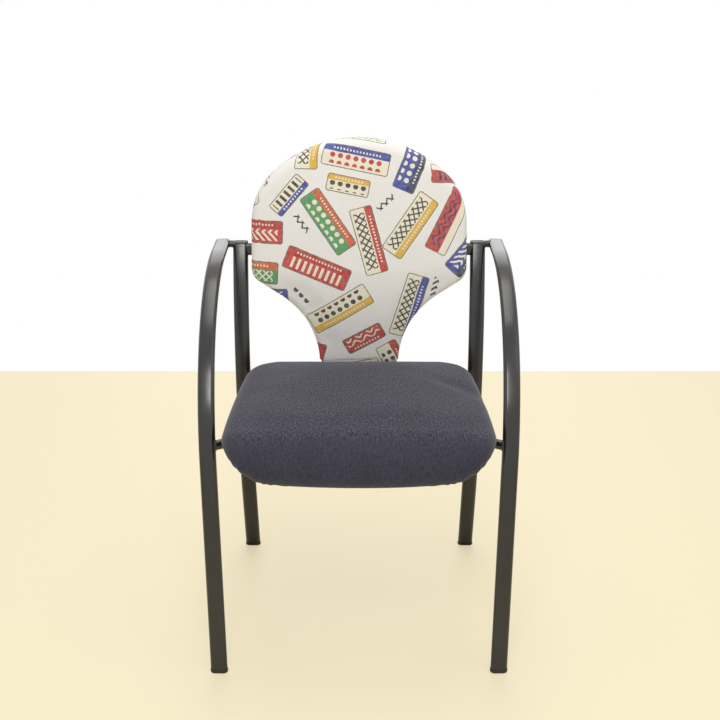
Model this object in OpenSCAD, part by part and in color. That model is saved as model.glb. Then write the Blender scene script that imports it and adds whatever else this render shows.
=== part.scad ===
// Visitor chair: two side arches of flat-oval steel tube, two bowed rear legs, a waterfall seat
// and a round-headed back on a slim neck.
// Millimetres. +Z is up and the sitter looks towards -Y. The floor is Z = 0.
// Right-hand pieces are drawn at +X and mirrored for the left.

/* [Stance] */
// Distance between the centres of the two front feet
front_span = 504; // [484:2:524]
// Gap between each arm's inner edge and the outer edge of the rear leg, at arm height
arm_gap = 6.3; // [5:0.1:8]
// Distance from the front feet back to the rear feet
foot_base = 462; // [452:1:472]
// Outward lean of each side arch, in degrees
arch_tilt = 2.2; // [1.6:0.1:2.8]
// Toe-in of each side arch seen from above, in degrees
arch_toe = 0.8; // [0.4:0.1:1.2]
// Outward lean of each rear leg, in degrees
rear_tilt = 0.7; // [0.3:0.1:1]

/* [Frame tube] */
// Broad width of the flat-oval tube
tube_w = 30; // [26:1:32]
// Thickness of the flat-oval tube
tube_t = 15; // [13:1:17]
// Wall of the flat-oval tube
tube_wall = 2; // [1.5:0.25:2.5]

/* [Side arch] */
// Backward lean of the front leg, in degrees
leg_lean = 12; // [11:0.5:13]
// Straight length of the front leg, measured along it from the floor
leg_run = 380; // [365:5:395]
// Centreline radius of the bend that turns the leg into the arm
arm_radius = 360; // [345:5:375]
// Length of the arm behind the rear leg's centreline
arm_overhang = 9; // [8:1:16]

/* [Rear leg] */
// Forward lean of the straight foot of the rear leg, in degrees
rear_lean = 12; // [11:0.5:13]
// Straight length of the rear leg's foot
rear_run = 145; // [130:5:160]
// Centreline radius of the bowed upper part of the rear leg
rear_radius = 800; // [760:10:840]
// How far the top of the rear leg stays below the top of the arm
rear_top_drop = 3; // [1:0.5:5]

/* [Tube ends] */
// Height of the glide under each foot
glide_h = 6; // [4:0.5:9]
// Overhang of the glide around the tube
glide_lip = 0.8; // [0:0.1:1.5]
// Bevel around the sole of the glide
glide_bevel = 1.5; // [0.5:0.25:2]
// Thickness of the head of a tube plug
plug_head = 3; // [2:0.5:4]
// Length of a plug or glide inside its tube
plug_len = 22; // [15:1:30]
// Diameter of the round spacer that joins arm and rear leg
spacer_d = 14; // [12:0.5:14.5]

/* [Seat frame] */
// Diameter of the two tubes under the seat
cross_d = 18; // [16:1:20]
// Wall of the tubes under the seat
cross_wall = 2; // [1.5:0.25:2.5]
// Height of the front seat tube's centreline above the floor
seat_tube_z = 405; // [395:1:415]
// How much lower the rear seat tube lies than the front one
rear_tube_drop = 10; // [4:1:14]
// How far the middle of the front seat tube lies behind its ends
front_tube_setback = 45; // [35:1:55]
// Angle at which the ends of the front seat tube sweep forward, in degrees
front_tube_sweep = 31; // [28:1:36]
// Centreline radius of the two bends in the front seat tube
front_tube_bend = 50; // [40:1:60]
// Thickness of the welded seat tabs
tab_t = 3; // [2.5:0.5:4]
// Width of a seat tab along its tube
tab_w = 36; // [30:1:44]
// Reach of a seat tab from the tube's centreline
tab_reach = 34; // [30:1:40]
// Distance from the tube's centreline to the bolt in its tab
tab_bolt_offset = 21; // [19:0.5:23]
// Distance of each seat bolt from the middle of the chair
tab_x = 140; // [120:2:150]
// Depth that a seat tab saddles over its tube
tab_sink = 1.5; // [1:0.25:2]

/* [Seat] */
// Width of the seat at its front corners
seat_w_front = 486; // [474:1:490]
// Width of the seat at its rear edge
seat_w_rear = 436; // [422:1:444]
// How far each side bows out between its corners
seat_bow = 4; // [2:0.5:6]
// Distance from the front seat tube back to the seat's rear edge
seat_rear = 286; // [276:1:290]
// Distance from the front seat tube forward to the start of the waterfall
seat_flat = 85; // [80:1:95]
// Radius of the waterfall at the middle of the pan's thickness
fall_radius = 42; // [38:1:48]
// Angle that the pan turns down through, in degrees
pan_fall = 60; // [50:1:70]
// Angle that the cushion wraps down through, in degrees
cushion_fall = 95; // [88:1:98]
// Plan radius of the front corners
seat_front_r = 84; // [74:1:92]
// Plan radius of the rear corners
seat_rear_r = 70; // [60:1:78]
// Thickness of the plywood pan
pan_t = 11; // [9:0.5:13]
// Distance that the pan's edge stays inside the cushion's edge
pan_inset = 11; // [9:0.5:14]
// Foam above the pan at the rolled edge
seat_foam = 23; // [20:1:28]
// Extra height of the crown in the middle of the seat
seat_crown = 7; // [4:0.5:10]
// Radius of the rolled upper edge
seat_roll = 24; // [20:1:28]
// How far the cushion's underside draws in below its widest line
seat_draw_in = 6; // [4:0.5:8]
// Thickness of the covers
cover_t = 1.2; // [1:0.1:1.6]
// Width of the cover's hem under the pan
hem_w = 26; // [20:1:32]
// Thickness of the dust liner under the seat
liner_t = 0.8; // [0.6:0.1:1]

/* [Back] */
// Width of the round head of the back
head_w = 430; // [416:1:432]
// Straight height of the head's sides
head_side_h = 90; // [80:1:100]
// Radius of the head's upper corners
head_corner_r = 140; // [130:1:150]
// Radius of the head's top
head_top_r = 280; // [270:1:300]
// Height of the start of the head's upper corners above the floor
head_corner_z = 698; // [690:1:706]
// Radius of the lower shoulder corners
shoulder_r = 26; // [22:1:34]
// Angle of the sweep below the shoulder from the vertical, in degrees
shoulder_angle = 52; // [48:1:56]
// Radius of the hollow between shoulder and neck
waist_r = 130; // [120:1:140]
// Width of the neck
neck_w = 152; // [144:1:160]
// Flare of the neck from the vertical, in degrees
neck_flare = 3; // [0:0.5:5]
// Height of the lower end of the back board
board_z = 370; // [360:1:376]
// Height of the lower edge of the back upholstery
upholstery_z = 424; // [420:1:430]
// Backward lean of the head, in degrees
back_lean = 15; // [13:0.5:17]
// Radius of the bend between neck and head
back_bend_r = 560; // [520:10:600]
// Height at which the back starts to bend backward
back_bend_z = 478; // [470:1:486]
// Thickness of the back board
board_t = 10; // [9:0.5:12]
// Foam in front of the board at the head
head_foam = 20; // [16:1:24]
// Foam in front of the board at the neck
neck_foam = 9; // [7:0.5:11]
// Radius of the rolled edge of the back upholstery
back_roll = 15; // [12:1:18]
// Distance that the board's edge stays inside the upholstery
board_inset = 5; // [4:0.5:7]
// Depth of the rear panel behind the board
panel_depth = 10; // [8:0.5:13]
// Wall of the rear panel
panel_wall = 2.5; // [2:0.25:3]
// Distance that the rear panel's edge stays inside the upholstery
panel_inset = 3; // [2:0.5:4]

/* [Back carriers] */
// Height of the flat tube behind the back
bar_h = 24; // [20:1:26]
// Thickness of the flat tube behind the back
bar_t = 12; // [10:1:14]
// Wall of the flat tube behind the back
bar_wall = 1.75; // [1.5:0.25:2.5]
// Depth of the bar's centreline below the top of the rear legs
bar_drop = 11; // [10:0.5:14]
// Distance of each upper back bolt from the middle
bar_bolt_x = 75; // [60:1:90]
// Width of the neck bracket
bracket_w = 88; // [80:1:96]
// Height of the neck bracket
bracket_h = 46; // [44:1:52]
// Plate thickness of the neck bracket
bracket_t = 4; // [3:0.5:5]
// Distance of each neck bolt from the middle
neck_bolt_x = 24; // [20:1:28]
// Distance of each neck bolt above or below the rear seat tube
neck_bolt_z = 16; // [15.5:0.5:17]

/* [Fasteners] */
// Diameter of all bolts
bolt_d = 6; // [5:0.5:6]
// Diameter of the bolt heads
bolt_head_d = 10; // [9:0.5:11]
// Height of the bolt heads
bolt_head_h = 4; // [3:0.5:5]
// Diameter of the washers
washer_d = 13; // [12:0.5:15]
// Thickness of the washers
washer_t = 1.2; // [1:0.1:1.6]
// Flange diameter of the tee nuts
tee_flange_d = 18; // [16:0.5:20]
// Flange thickness of the tee nuts
tee_flange_t = 1.2; // [1:0.1:1.5]
// Barrel diameter of the tee nuts
tee_barrel_d = 8; // [7.5:0.25:9]

/* [Hidden] */
$fn = 72;
section_fn = 72;
bend_fn = 720;
steel = [0.13, 0.12, 0.12];
plastic = [0.07, 0.07, 0.08];
zinc = [0.72, 0.73, 0.74];
plywood = [0.76, 0.62, 0.42];
foam = [0.93, 0.87, 0.66];
seat_fabric = [0.20, 0.20, 0.24];
back_fabric = [0.90, 0.87, 0.80];
weld_gap = 0.2;
fit_gap = 0.3;
hole_clear = 1;
reach = 2000;
// A seam ties a straight run to its bend: a short ring over the joint that stands a hair proud.
seam_len = 0.4;
seam_hair = 0.1;

// Side arch in its own plane: v runs backward, w runs upward, the foot is the origin.
arch_v1 = leg_run * sin(leg_lean);
arch_w1 = leg_run * cos(leg_lean);
arch_cv = arch_v1 + arm_radius * cos(leg_lean);
arch_cw = arch_w1 - arm_radius * sin(leg_lean);
arm_w = arch_cw + arm_radius;
arm_z = arm_w * cos(arch_tilt);
function arch_v(w) = w < arch_w1 ? w * tan(leg_lean)
    : arch_cv - sqrt(max(0, pow(arm_radius, 2) - pow(w - arch_cw, 2)));
function arch_point(v, w) = [
    front_span / 2 + w * sin(arch_tilt) * cos(arch_toe) - v * sin(arch_toe),
    w * sin(arch_tilt) * sin(arch_toe) + v * cos(arch_toe),
    w * cos(arch_tilt)];
function arch_at(z) = arch_point(arch_v(z / cos(arch_tilt)), z / cos(arch_tilt));

// Rear leg in its own plane, with its foot as the origin. Its top stands arm_gap inside the arm.
rear_v1 = -rear_run * sin(rear_lean);
rear_w1 = rear_run * cos(rear_lean);
rear_cv = rear_v1 + rear_radius * cos(rear_lean);
rear_cw = rear_w1 + rear_radius * sin(rear_lean);
rear_top_z = arm_z + tube_t / 2 - rear_top_drop - plug_head;
function rear_v(w) = w < rear_w1 ? -w * tan(rear_lean)
    : rear_cv - sqrt(pow(rear_radius, 2) - pow(w - rear_cw, 2));
function rear_lean_at(w) = asin((w - rear_cw) / rear_radius);
link_y = foot_base + rear_v(arm_z / cos(rear_tilt));
arm_x = arch_point(link_y, arm_w)[0];
rear_foot_x = arm_x - tube_w - arm_gap - arm_z * tan(rear_tilt);
function rear_at(z) = [
    rear_foot_x + z * tan(rear_tilt),
    foot_base + rear_v(z / cos(rear_tilt)),
    z];
rear_sweep = rear_lean + rear_lean_at(rear_top_z + tube_w);

// The arm ends just behind the rear leg.
link = rear_at(arm_z);
arm_run = link[1] + arm_overhang - arch_cv * cos(arch_toe);

// Seat frame: its origin is the middle of the front seat tube, tilted back with the seat.
front_end = arch_at(seat_tube_z);
front_tube_y = front_end[1] + front_tube_setback;
front_corner_x = front_end[0] - front_tube_setback / tan(front_tube_sweep);
rear_tube = rear_at(seat_tube_z - rear_tube_drop);
seat_tilt = atan(rear_tube_drop / (rear_tube[1] - front_tube_y));
tube_pitch = (rear_tube[1] - front_tube_y) / cos(seat_tilt);
cope = tube_t / 4;
tab_z = cross_d / 2 - tab_sink;
liner_z = tab_z + tab_t;
pan_z = liner_z + max(liner_t, cover_t);
pan_top = pan_z + pan_t;
pan_mid = pan_z + pan_t / 2;
pan_front = -seat_flat - fall_radius * pan_fall * PI / 180;
seat_front = -seat_flat - fall_radius * cushion_fall * PI / 180;
seat_taper = atan((seat_w_front - seat_w_rear) / 2 / (seat_rear - seat_front));
seat_edge = pan_top + seat_foam - seat_roll;
roll_steps = [0, 22, 44, 66, 90];
tab_bolts = [for (x = [-tab_x, tab_x], y = [tab_bolt_offset, tube_pitch - tab_bolt_offset]) [x, y]];

// Back: y of the board's front face at each height, set by the bar that carries the back.
bar_z = rear_top_z - bar_drop;
bar_y = rear_at(bar_z)[1];
back_bend_top = back_bend_z + back_bend_r * sin(back_lean);
function back_curve(z) = z < back_bend_z ? 0
    : z < back_bend_top ? back_bend_r - sqrt(pow(back_bend_r, 2) - pow(z - back_bend_z, 2))
    : back_bend_r * (1 - cos(back_lean)) + (z - back_bend_top) * tan(back_lean);
stack_y = (board_t + panel_depth) + (bar_t / 2 + fit_gap) / cos(back_lean);
board_y = bar_y - stack_y - back_curve(bar_z);
function back_y(z) = board_y + back_curve(z);
bracket_y = board_y - bracket_t;

// Overall extents, which centre the chair on its own footprint.
head_top_z = head_corner_z + head_top_r - (head_top_r - head_corner_r) * sin(head_turn());
function head_turn() = acos((head_w / 2 - head_corner_r) / (head_top_r - head_corner_r));
front_y = front_tube_y + min([for (p = [for (a = roll_steps) fall(seat_roll_point(0, a))])
    p[1] * cos(seat_tilt) + p[2] * sin(seat_tilt)]);
rear_y = back_y(head_top_z - panel_inset) + board_t + panel_depth;
centre_y = (front_y + rear_y) / 2;

module placed() {
    translate([0, -centre_y, 0]) children();
}

module handed(right) {
    if (right) children();
    else mirror([1, 0, 0]) children();
}

module both_hands() {
    handed(true) children();
    handed(false) children();
}

// A bar with half-round edges, w wide and t thick.
module flat_oval(w, t) {
    square([w - t, t], center = true);
    for (side = [-1, 1])
        translate([side * (w - t) / 2, 0]) circle(d = t, $fn = section_fn);
}

// Flat-oval run from -tube_w up to length, with a seam at its upper end.
module oval_run(length, g) {
    translate([0, 0, -tube_w])
        linear_extrude(length + tube_w) flat_oval(tube_w + 2 * g, tube_t + 2 * g);
    translate([0, 0, length - seam_len / 2])
        linear_extrude(seam_len)
            flat_oval(tube_w + 2 * g + seam_hair, tube_t + 2 * g + seam_hair);
}

// Everything between two heights.
module slab(z0, z1) {
    translate([-reach, -reach, z0]) cube([2 * reach, 2 * reach, z1 - z0]);
}

// Side arch, solid, with its section grown by g; e lengthens the arm's end.
module arch_form(g = 0, e = 0) {
    translate([front_span / 2, 0, 0]) rotate([0, arch_tilt, arch_toe]) {
        rotate([-leg_lean, 0, 0]) oval_run(leg_run, g);
        translate([0, arch_cv, arch_cw]) rotate([90, 0, 90]) rotate([0, 0, 90])
            rotate_extrude(angle = 90 - leg_lean, $fn = bend_fn)
                translate([arm_radius, 0]) rotate(90)
                    flat_oval(tube_w + 2 * g, tube_t + 2 * g);
        translate([0, arch_cv, arm_w]) rotate([-90, 0, 0])
            linear_extrude(arm_run + e) flat_oval(tube_w + 2 * g, tube_t + 2 * g);
    }
}

// Rear leg, solid, running past both of its cut ends, with its section grown by g.
module rear_form(g = 0) {
    translate([rear_foot_x, foot_base, 0]) rotate([0, rear_tilt, 0]) {
        rotate([rear_lean, 0, 0]) oval_run(rear_run, g);
        translate([0, rear_cv, rear_cw]) rotate([90, 0, 90])
            rotate([0, 0, 180 + rear_lean - rear_sweep])
                rotate_extrude(angle = rear_sweep, $fn = bend_fn)
                    translate([rear_radius, 0]) rotate(90)
                        flat_oval(tube_w + 2 * g, tube_t + 2 * g);
    }
}

module arm_leg(right) {
    color(steel) placed() handed(right)
        difference() {
            arch_form();
            arch_form(-tube_wall, 1);
            slab(-reach, glide_h);
        }
}

module rear_leg(right) {
    color(steel) placed() handed(right)
        difference() {
            rear_form();
            rear_form(-tube_wall);
            slab(-reach, glide_h);
            slab(rear_top_z, reach);
        }
}

// Round spacer between the arm's inner edge and the rear leg's outer edge.
module arm_spacer(right) {
    color(steel) placed() handed(right)
        difference() {
            translate(link) rotate([0, 90, 0])
                cylinder(h = arm_x - link[0], d = spacer_d);
            arch_form(weld_gap);
            rear_form(weld_gap);
        }
}

module arm_plug(right) {
    color(plastic) placed() handed(right)
        translate([front_span / 2, 0, 0]) rotate([0, arch_tilt, arch_toe])
            translate([0, arch_cv + arm_run, arm_w]) rotate([-90, 0, 0]) {
                linear_extrude(plug_head / 2) flat_oval(tube_w, tube_t);
                translate([0, 0, plug_head / 2])
                    linear_extrude(plug_head / 2) flat_oval(tube_w - plug_head, tube_t - plug_head);
                translate([0, 0, -plug_len])
                    linear_extrude(plug_len)
                        flat_oval(tube_w - 2 * (tube_wall + fit_gap), tube_t - 2 * (tube_wall + fit_gap));
            }
}

module rear_plug(right) {
    color(plastic) placed() handed(right) {
        intersection() {
            rear_form();
            slab(rear_top_z, rear_top_z + plug_head);
        }
        intersection() {
            rear_form(-tube_wall - fit_gap);
            slab(rear_top_z - plug_len, rear_top_z);
        }
    }
}

// A glide: a bevelled sole that follows the leg's outline, and a plug up the tube.
module glide_of() {
    intersection() {
        children(0);
        slab(glide_bevel, glide_h);
    }
    intersection() {
        children(1);
        slab(0, glide_bevel);
    }
    intersection() {
        children(2);
        slab(glide_h, glide_h + plug_len);
    }
}

module front_glide(right) {
    color(plastic) placed() handed(right)
        glide_of() {
            arch_form(glide_lip);
            arch_form(glide_lip - glide_bevel);
            arch_form(-tube_wall - fit_gap);
        }
}

module rear_glide(right) {
    color(plastic) placed() handed(right)
        glide_of() {
            rear_form(glide_lip);
            rear_form(glide_lip - glide_bevel);
            rear_form(-tube_wall - fit_gap);
        }
}

// Section of the tubes under the seat, its faces grown by hair.
module cross_ring(hair = 0) {
    difference() {
        circle(d = cross_d + hair, $fn = section_fn);
        circle(d = cross_d - 2 * cross_wall - hair, $fn = section_fn);
    }
}

// Tube under the seat along +Z, with a seam at its start.
module cross_run(length) {
    linear_extrude(length) cross_ring();
    translate([0, 0, -seam_len / 2]) linear_extrude(seam_len) cross_ring(seam_hair);
}

// Front seat tube: straight in the middle, its ends swept forward to the middles of the legs.
module front_tube_form() {
    bend_len = front_tube_bend * tan(front_tube_sweep / 2);
    middle = front_corner_x - bend_len;
    leg_len = front_tube_setback / sin(front_tube_sweep) - bend_len;
    translate([0, front_tube_y, seat_tube_z]) {
        rotate([0, 90, 0]) linear_extrude(2 * middle, center = true) cross_ring();
        both_hands()
            translate([middle, -front_tube_bend, 0]) {
                translate([0, front_tube_bend, 0]) rotate([0, 90, 0])
                    translate([0, 0, -seam_len / 2]) linear_extrude(seam_len) cross_ring(seam_hair);
                rotate([0, 0, 90 - front_tube_sweep])
                    rotate_extrude(angle = front_tube_sweep, $fn = bend_fn)
                        translate([front_tube_bend, 0]) cross_ring();
                rotate([0, 0, -front_tube_sweep])
                    translate([0, front_tube_bend, 0]) rotate([0, 90, 0]) cross_run(leg_len);
            }
    }
}

// Keeps what lies within x of the chair's middle.
module within(x) {
    intersection() {
        children();
        translate([-x, -reach, -reach]) cube([2 * x, 2 * reach, 2 * reach]);
    }
}

module front_seat_tube() {
    color(steel) placed()
        difference() {
            within(front_end[0] - tube_w / 2 + cope) front_tube_form();
            both_hands() arch_form(weld_gap);
        }
}

module rear_seat_tube() {
    color(steel) placed()
        difference() {
            translate([0, rear_tube[1], rear_tube[2]]) rotate([0, 90, 0])
                linear_extrude(2 * (rear_tube[0] - tube_w / 2 + cope), center = true) cross_ring();
            both_hands() rear_form(weld_gap);
        }
}

// Seat frame of reference: flat with the tabs, tilted back by the drop of the rear tube.
module seat_frame() {
    placed() translate([0, front_tube_y, seat_tube_z]) rotate([-seat_tilt, 0, 0]) children();
}

// Plate that saddles a seat tube and reaches to one bolt; towards is 1 for backward.
module seat_tab(right, front) {
    axis = front ? 0 : tube_pitch;
    towards = front ? 1 : -1;
    color(steel) seat_frame() handed(right)
        difference() {
            translate([tab_x, axis, tab_z])
                linear_extrude(tab_t) {
                    translate([-tab_w / 2, towards > 0 ? -cross_d / 4 : cross_d / 4 - tab_reach + tab_w / 4])
                        square([tab_w, tab_reach - tab_w / 4]);
                    for (side = [-1, 1])
                        translate([side * tab_w / 4, towards * (tab_reach - tab_w / 2)])
                            circle(d = tab_w / 2);
                    translate([-tab_w / 4, towards > 0 ? tab_reach - tab_w / 2 : -tab_reach + tab_w / 4])
                        square([tab_w / 2, tab_w / 4]);
                }
            translate([0, axis, 0]) rotate([0, 90, 0]) cylinder(h = reach, d = cross_d + 2 * weld_gap);
            translate([tab_x, axis + towards * tab_bolt_offset, 0])
                cylinder(h = reach, d = bolt_d + hole_clear);
        }
}

// Points from p to q in n steps, without q.
function steps(p, q, n) = [for (i = [0:n - 1]) p + (q - p) * i / n];
// Points on an arc about c, from a0 to a1 degrees.
function arc(c, r, a0, a1, n) =
    [for (i = [0:n]) c + r * [cos(a0 + (a1 - a0) * i / n), sin(a0 + (a1 - a0) * i / n)]];
function flip_x(list) = [for (i = [len(list) - 1:-1:0]) [-list[i][0], list[i][1]]];

// Points from p to q in n steps, without q, bowed out to the right in the middle.
function bowed(p, q, n) =
    [for (i = [0:n - 1]) p + (q - p) * i / n + [4 * seat_bow * i / n * (1 - i / n), 0]];

// Right half of the seat's plan, drawn in by d, from the front edge round to the rear edge.
function side_x(y, d) = seat_w_front / 2 - (y - seat_front) * tan(seat_taper) - d / cos(seat_taper);
front_arc_c = [side_x(seat_front + seat_front_r, seat_front_r), seat_front + seat_front_r];
rear_arc_c = [side_x(seat_rear - seat_rear_r, seat_rear_r), seat_rear - seat_rear_r];
function seat_half(d) =
    let (a = arc(front_arc_c, seat_front_r - d, -90, seat_taper, 6),
         b = arc(rear_arc_c, seat_rear_r - d, seat_taper, 90, 4))
    concat(steps([a[0][0] / 3, a[0][1]], a[0], 2), a,
           bowed(a[6], b[0], 4), b,
           [[b[4][0] * 2 / 3, b[4][1]], [b[4][0] / 3, b[4][1]]]);
function seat_plan(d) = concat(seat_half(d), flip_x(seat_half(d)));

// Bends a point of the flat seat down over the waterfall.
function fall(p) = p[1] > -seat_flat ? p
    : let (turn = (-seat_flat - p[1]) / fall_radius * 180 / PI,
           r = fall_radius + p[2] - pan_mid)
      [p[0], -seat_flat - r * sin(turn), pan_mid - fall_radius + r * cos(turn)];

// Point on the front middle of the rolled edge, drawn in by d, a degrees up from its widest line.
function seat_roll_point(d, a) =
    [0, seat_front + d + (seat_roll - d) * (1 - cos(a)), seat_edge + (seat_roll - d) * sin(a)];

// Closed form of the cushion, drawn in by d all round; its underside is at z0.
module cushion_form(d, z0) {
    n = len(seat_plan(0));
    middle = [0, (seat_front + seat_rear) / 2];
    half_depth = (seat_rear - seat_front) / 2 - seat_roll;
    top = seat_edge + seat_roll - d;
    edge = (z0 + seat_edge) / 2;
    insets = [for (a = roll_steps) seat_roll_point(d, a)[1] - seat_front];
    lifts = [for (a = roll_steps) seat_roll_point(d, a)[2] - seat_edge];
    inner = seat_plan(seat_roll);
    shares = [0.2, 0.42, 0.64, 0.84];
    function crown(q) = seat_crown * (1 - pow(q[0] / side_x(q[1], seat_roll), 2))
        * (1 - pow((q[1] - middle[1]) / half_depth, 2));
    rings = concat(
        [[for (p = seat_plan(d + seat_draw_in)) [p[0], p[1], z0]]],
        [[for (p = seat_plan(d + seat_draw_in / 4)) [p[0], p[1], edge]]],
        [for (i = [0:len(roll_steps) - 1]) [for (p = seat_plan(insets[i]))
            [p[0], p[1], seat_edge + lifts[i]]]],
        [for (s = shares) [for (p = inner)
            let (q = p + (middle - p) * s) [q[0], q[1], top + crown(q)]]]);
    pts = concat([for (ring = rings) for (p = ring) fall(p)],
                 [[0, middle[1], top + seat_crown], [0, middle[1], z0]]);
    last = len(rings) - 1;
    faces = concat(
        [for (k = [0:last - 1]) for (i = [0:n - 1])
            [k * n + i, (k + 1) * n + i, (k + 1) * n + (i + 1) % n]],
        [for (k = [0:last - 1]) for (i = [0:n - 1])
            [k * n + i, (k + 1) * n + (i + 1) % n, k * n + (i + 1) % n]],
        [for (i = [0:n - 1]) [last * n + i, (last + 1) * n, last * n + (i + 1) % n]],
        [for (i = [0:n - 1]) [i, (i + 1) % n, (last + 1) * n + 1]]);
    polyhedron(points = pts, faces = faces);
}

// Side view of a layer that follows the pan, between two heights over the pan's underside: flat
// from the rear edge, then bent down over the waterfall.
module layer_side(low, high) {
    bend_in = fall_radius - pan_t / 2;
    translate([-seat_flat, pan_z + low]) square([seat_flat + seat_rear, high - low]);
    translate([-seat_flat, pan_z - bend_in])
        difference() {
            circle(r = bend_in + high);
            circle(r = bend_in + low);
            rotate(90 + pan_fall) translate([-reach, 0]) square([2 * reach, reach]);
            translate([0, -reach]) square([reach, 2 * reach]);
            translate([-reach, -reach]) square([2 * reach, reach]);
        }
}

// Such a layer as a solid, within the seat's plan drawn in by d.
module layer_form(low, high, d) {
    intersection() {
        translate([-reach / 2, 0, 0]) rotate([90, 0, 90]) linear_extrude(reach) layer_side(low, high);
        translate([0, 0, -reach / 2]) linear_extrude(reach) polygon(seat_plan(d));
    }
}

// The pan's solid, grown by g all round.
module pan_form(g = 0) {
    layer_form(-g, pan_t + g, pan_inset - g);
}

module seat_pan() {
    color(plywood) seat_frame()
        difference() {
            pan_form();
            for (p = tab_bolts)
                translate([p[0], p[1], pan_z - 1]) {
                    cylinder(h = pan_t + 2, d = tee_barrel_d + 2 * fit_gap);
                    translate([0, 0, 1 + pan_t - tee_flange_t])
                        cylinder(h = reach, d = tee_flange_d + 2 * fit_gap);
                }
        }
}

module seat_foam_pad() {
    color(foam) seat_frame()
        difference() {
            cushion_form(cover_t + fit_gap, pan_z);
            pan_form(fit_gap);
            translate([0, 0, -reach / 2])
                linear_extrude(reach / 2 + pan_mid) polygon(seat_plan(pan_inset - fit_gap));
        }
}

module seat_cover() {
    color(seat_fabric) seat_frame()
        difference() {
            cushion_form(0, pan_z - cover_t);
            cushion_form(cover_t, pan_z - fit_gap / 3);
            translate([0, 0, -reach / 2])
                linear_extrude(reach / 2 + pan_mid) polygon(seat_plan(pan_inset + hem_w));
            for (p = tab_bolts)
                translate([p[0], p[1], 0]) cylinder(h = pan_mid, d = bolt_d + hole_clear);
        }
}

module seat_liner() {
    color(plastic) seat_frame()
        difference() {
            layer_form(-liner_t, 0, pan_inset + hem_w + fit_gap);
            for (p = tab_bolts)
                translate([p[0], p[1], 0]) cylinder(h = reach, d = bolt_d + hole_clear);
        }
}

// Socket-head bolt pointing along +Z, with its bearing face at z = 0.
module bolt(length) {
    cylinder(h = length, d = bolt_d);
    translate([0, 0, -bolt_head_h])
        difference() {
            cylinder(h = bolt_head_h, d = bolt_head_d);
            translate([0, 0, -1]) cylinder(h = bolt_head_h / 2 + 1, d = bolt_d * 0.9, $fn = 6);
        }
}

// Tee nut with its flange's outer face at z = 0 and its barrel along -Z.
module tee_nut(length) {
    difference() {
        union() {
            translate([0, 0, -tee_flange_t]) cylinder(h = tee_flange_t, d = tee_flange_d);
            translate([0, 0, -length]) cylinder(h = length, d = tee_barrel_d);
        }
        translate([0, 0, -length - 1]) cylinder(h = length + 2, d = bolt_d + fit_gap);
    }
}

module seat_bolts() {
    color(zinc) seat_frame()
        for (p = tab_bolts)
            translate([p[0], p[1], tab_z - washer_t]) bolt(pan_top - tab_z + washer_t - tee_flange_t);
}

module seat_washers() {
    color(zinc) seat_frame()
        for (p = tab_bolts)
            translate([p[0], p[1], tab_z - washer_t])
                difference() {
                    cylinder(h = washer_t, d = washer_d);
                    translate([0, 0, -1]) cylinder(h = washer_t + 2, d = bolt_d + hole_clear / 2);
                }
}

module seat_tee_nuts() {
    color(zinc) seat_frame()
        for (p = tab_bolts)
            translate([p[0], p[1], pan_top]) tee_nut(pan_t - 1);
}

// Right half of the back's outline, drawn in by d, from z0 on the neck up to the top.
waist_dx = waist_r * (cos(neck_flare) - cos(shoulder_angle));
sweep_len = (head_w / 2 - shoulder_r * (1 - cos(shoulder_angle)) - waist_dx - neck_w / 2)
    / sin(shoulder_angle);
shoulder_c = [head_w / 2 - shoulder_r, head_corner_z - head_side_h];
sweep_end = shoulder_c + shoulder_r * [cos(shoulder_angle), -sin(shoulder_angle)]
    - sweep_len * [sin(shoulder_angle), cos(shoulder_angle)];
waist_c = sweep_end + waist_r * [cos(shoulder_angle), -sin(shoulder_angle)];
head_corner_c = [head_w / 2 - head_corner_r, head_corner_z];
head_top_c = [0, head_top_z - head_top_r];
function neck_x(z, d) =
    let (p = waist_c - (waist_r + d) * [cos(neck_flare), -sin(neck_flare)])
    p[0] + (p[1] - z) * tan(neck_flare);
function back_half(d, z0) =
    let (waist = arc(waist_c, waist_r + d, 180 - neck_flare, 180 - shoulder_angle, 6),
         shoulder = arc(shoulder_c, shoulder_r - d, -shoulder_angle, 0, 4),
         corner = arc(head_corner_c, head_corner_r - d, 0, head_turn(), 6),
         crown = arc(head_top_c, head_top_r - d, head_turn(), 90, 6))
    concat(steps([neck_x(z0, d), z0], waist[0], 2), waist,
           [(waist[6] * 2 + shoulder[0]) / 3, (waist[6] + shoulder[0] * 2) / 3], shoulder,
           steps(shoulder[4], corner[0], 3), corner,
           [for (i = [1:len(crown) - 1]) crown[i]]);
function back_plan(d, z0) =
    let (half = back_half(d, z0), n = len(half))
    concat(half, [for (i = [n - 2:-1:0]) [-half[i][0], half[i][1]]]);

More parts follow.
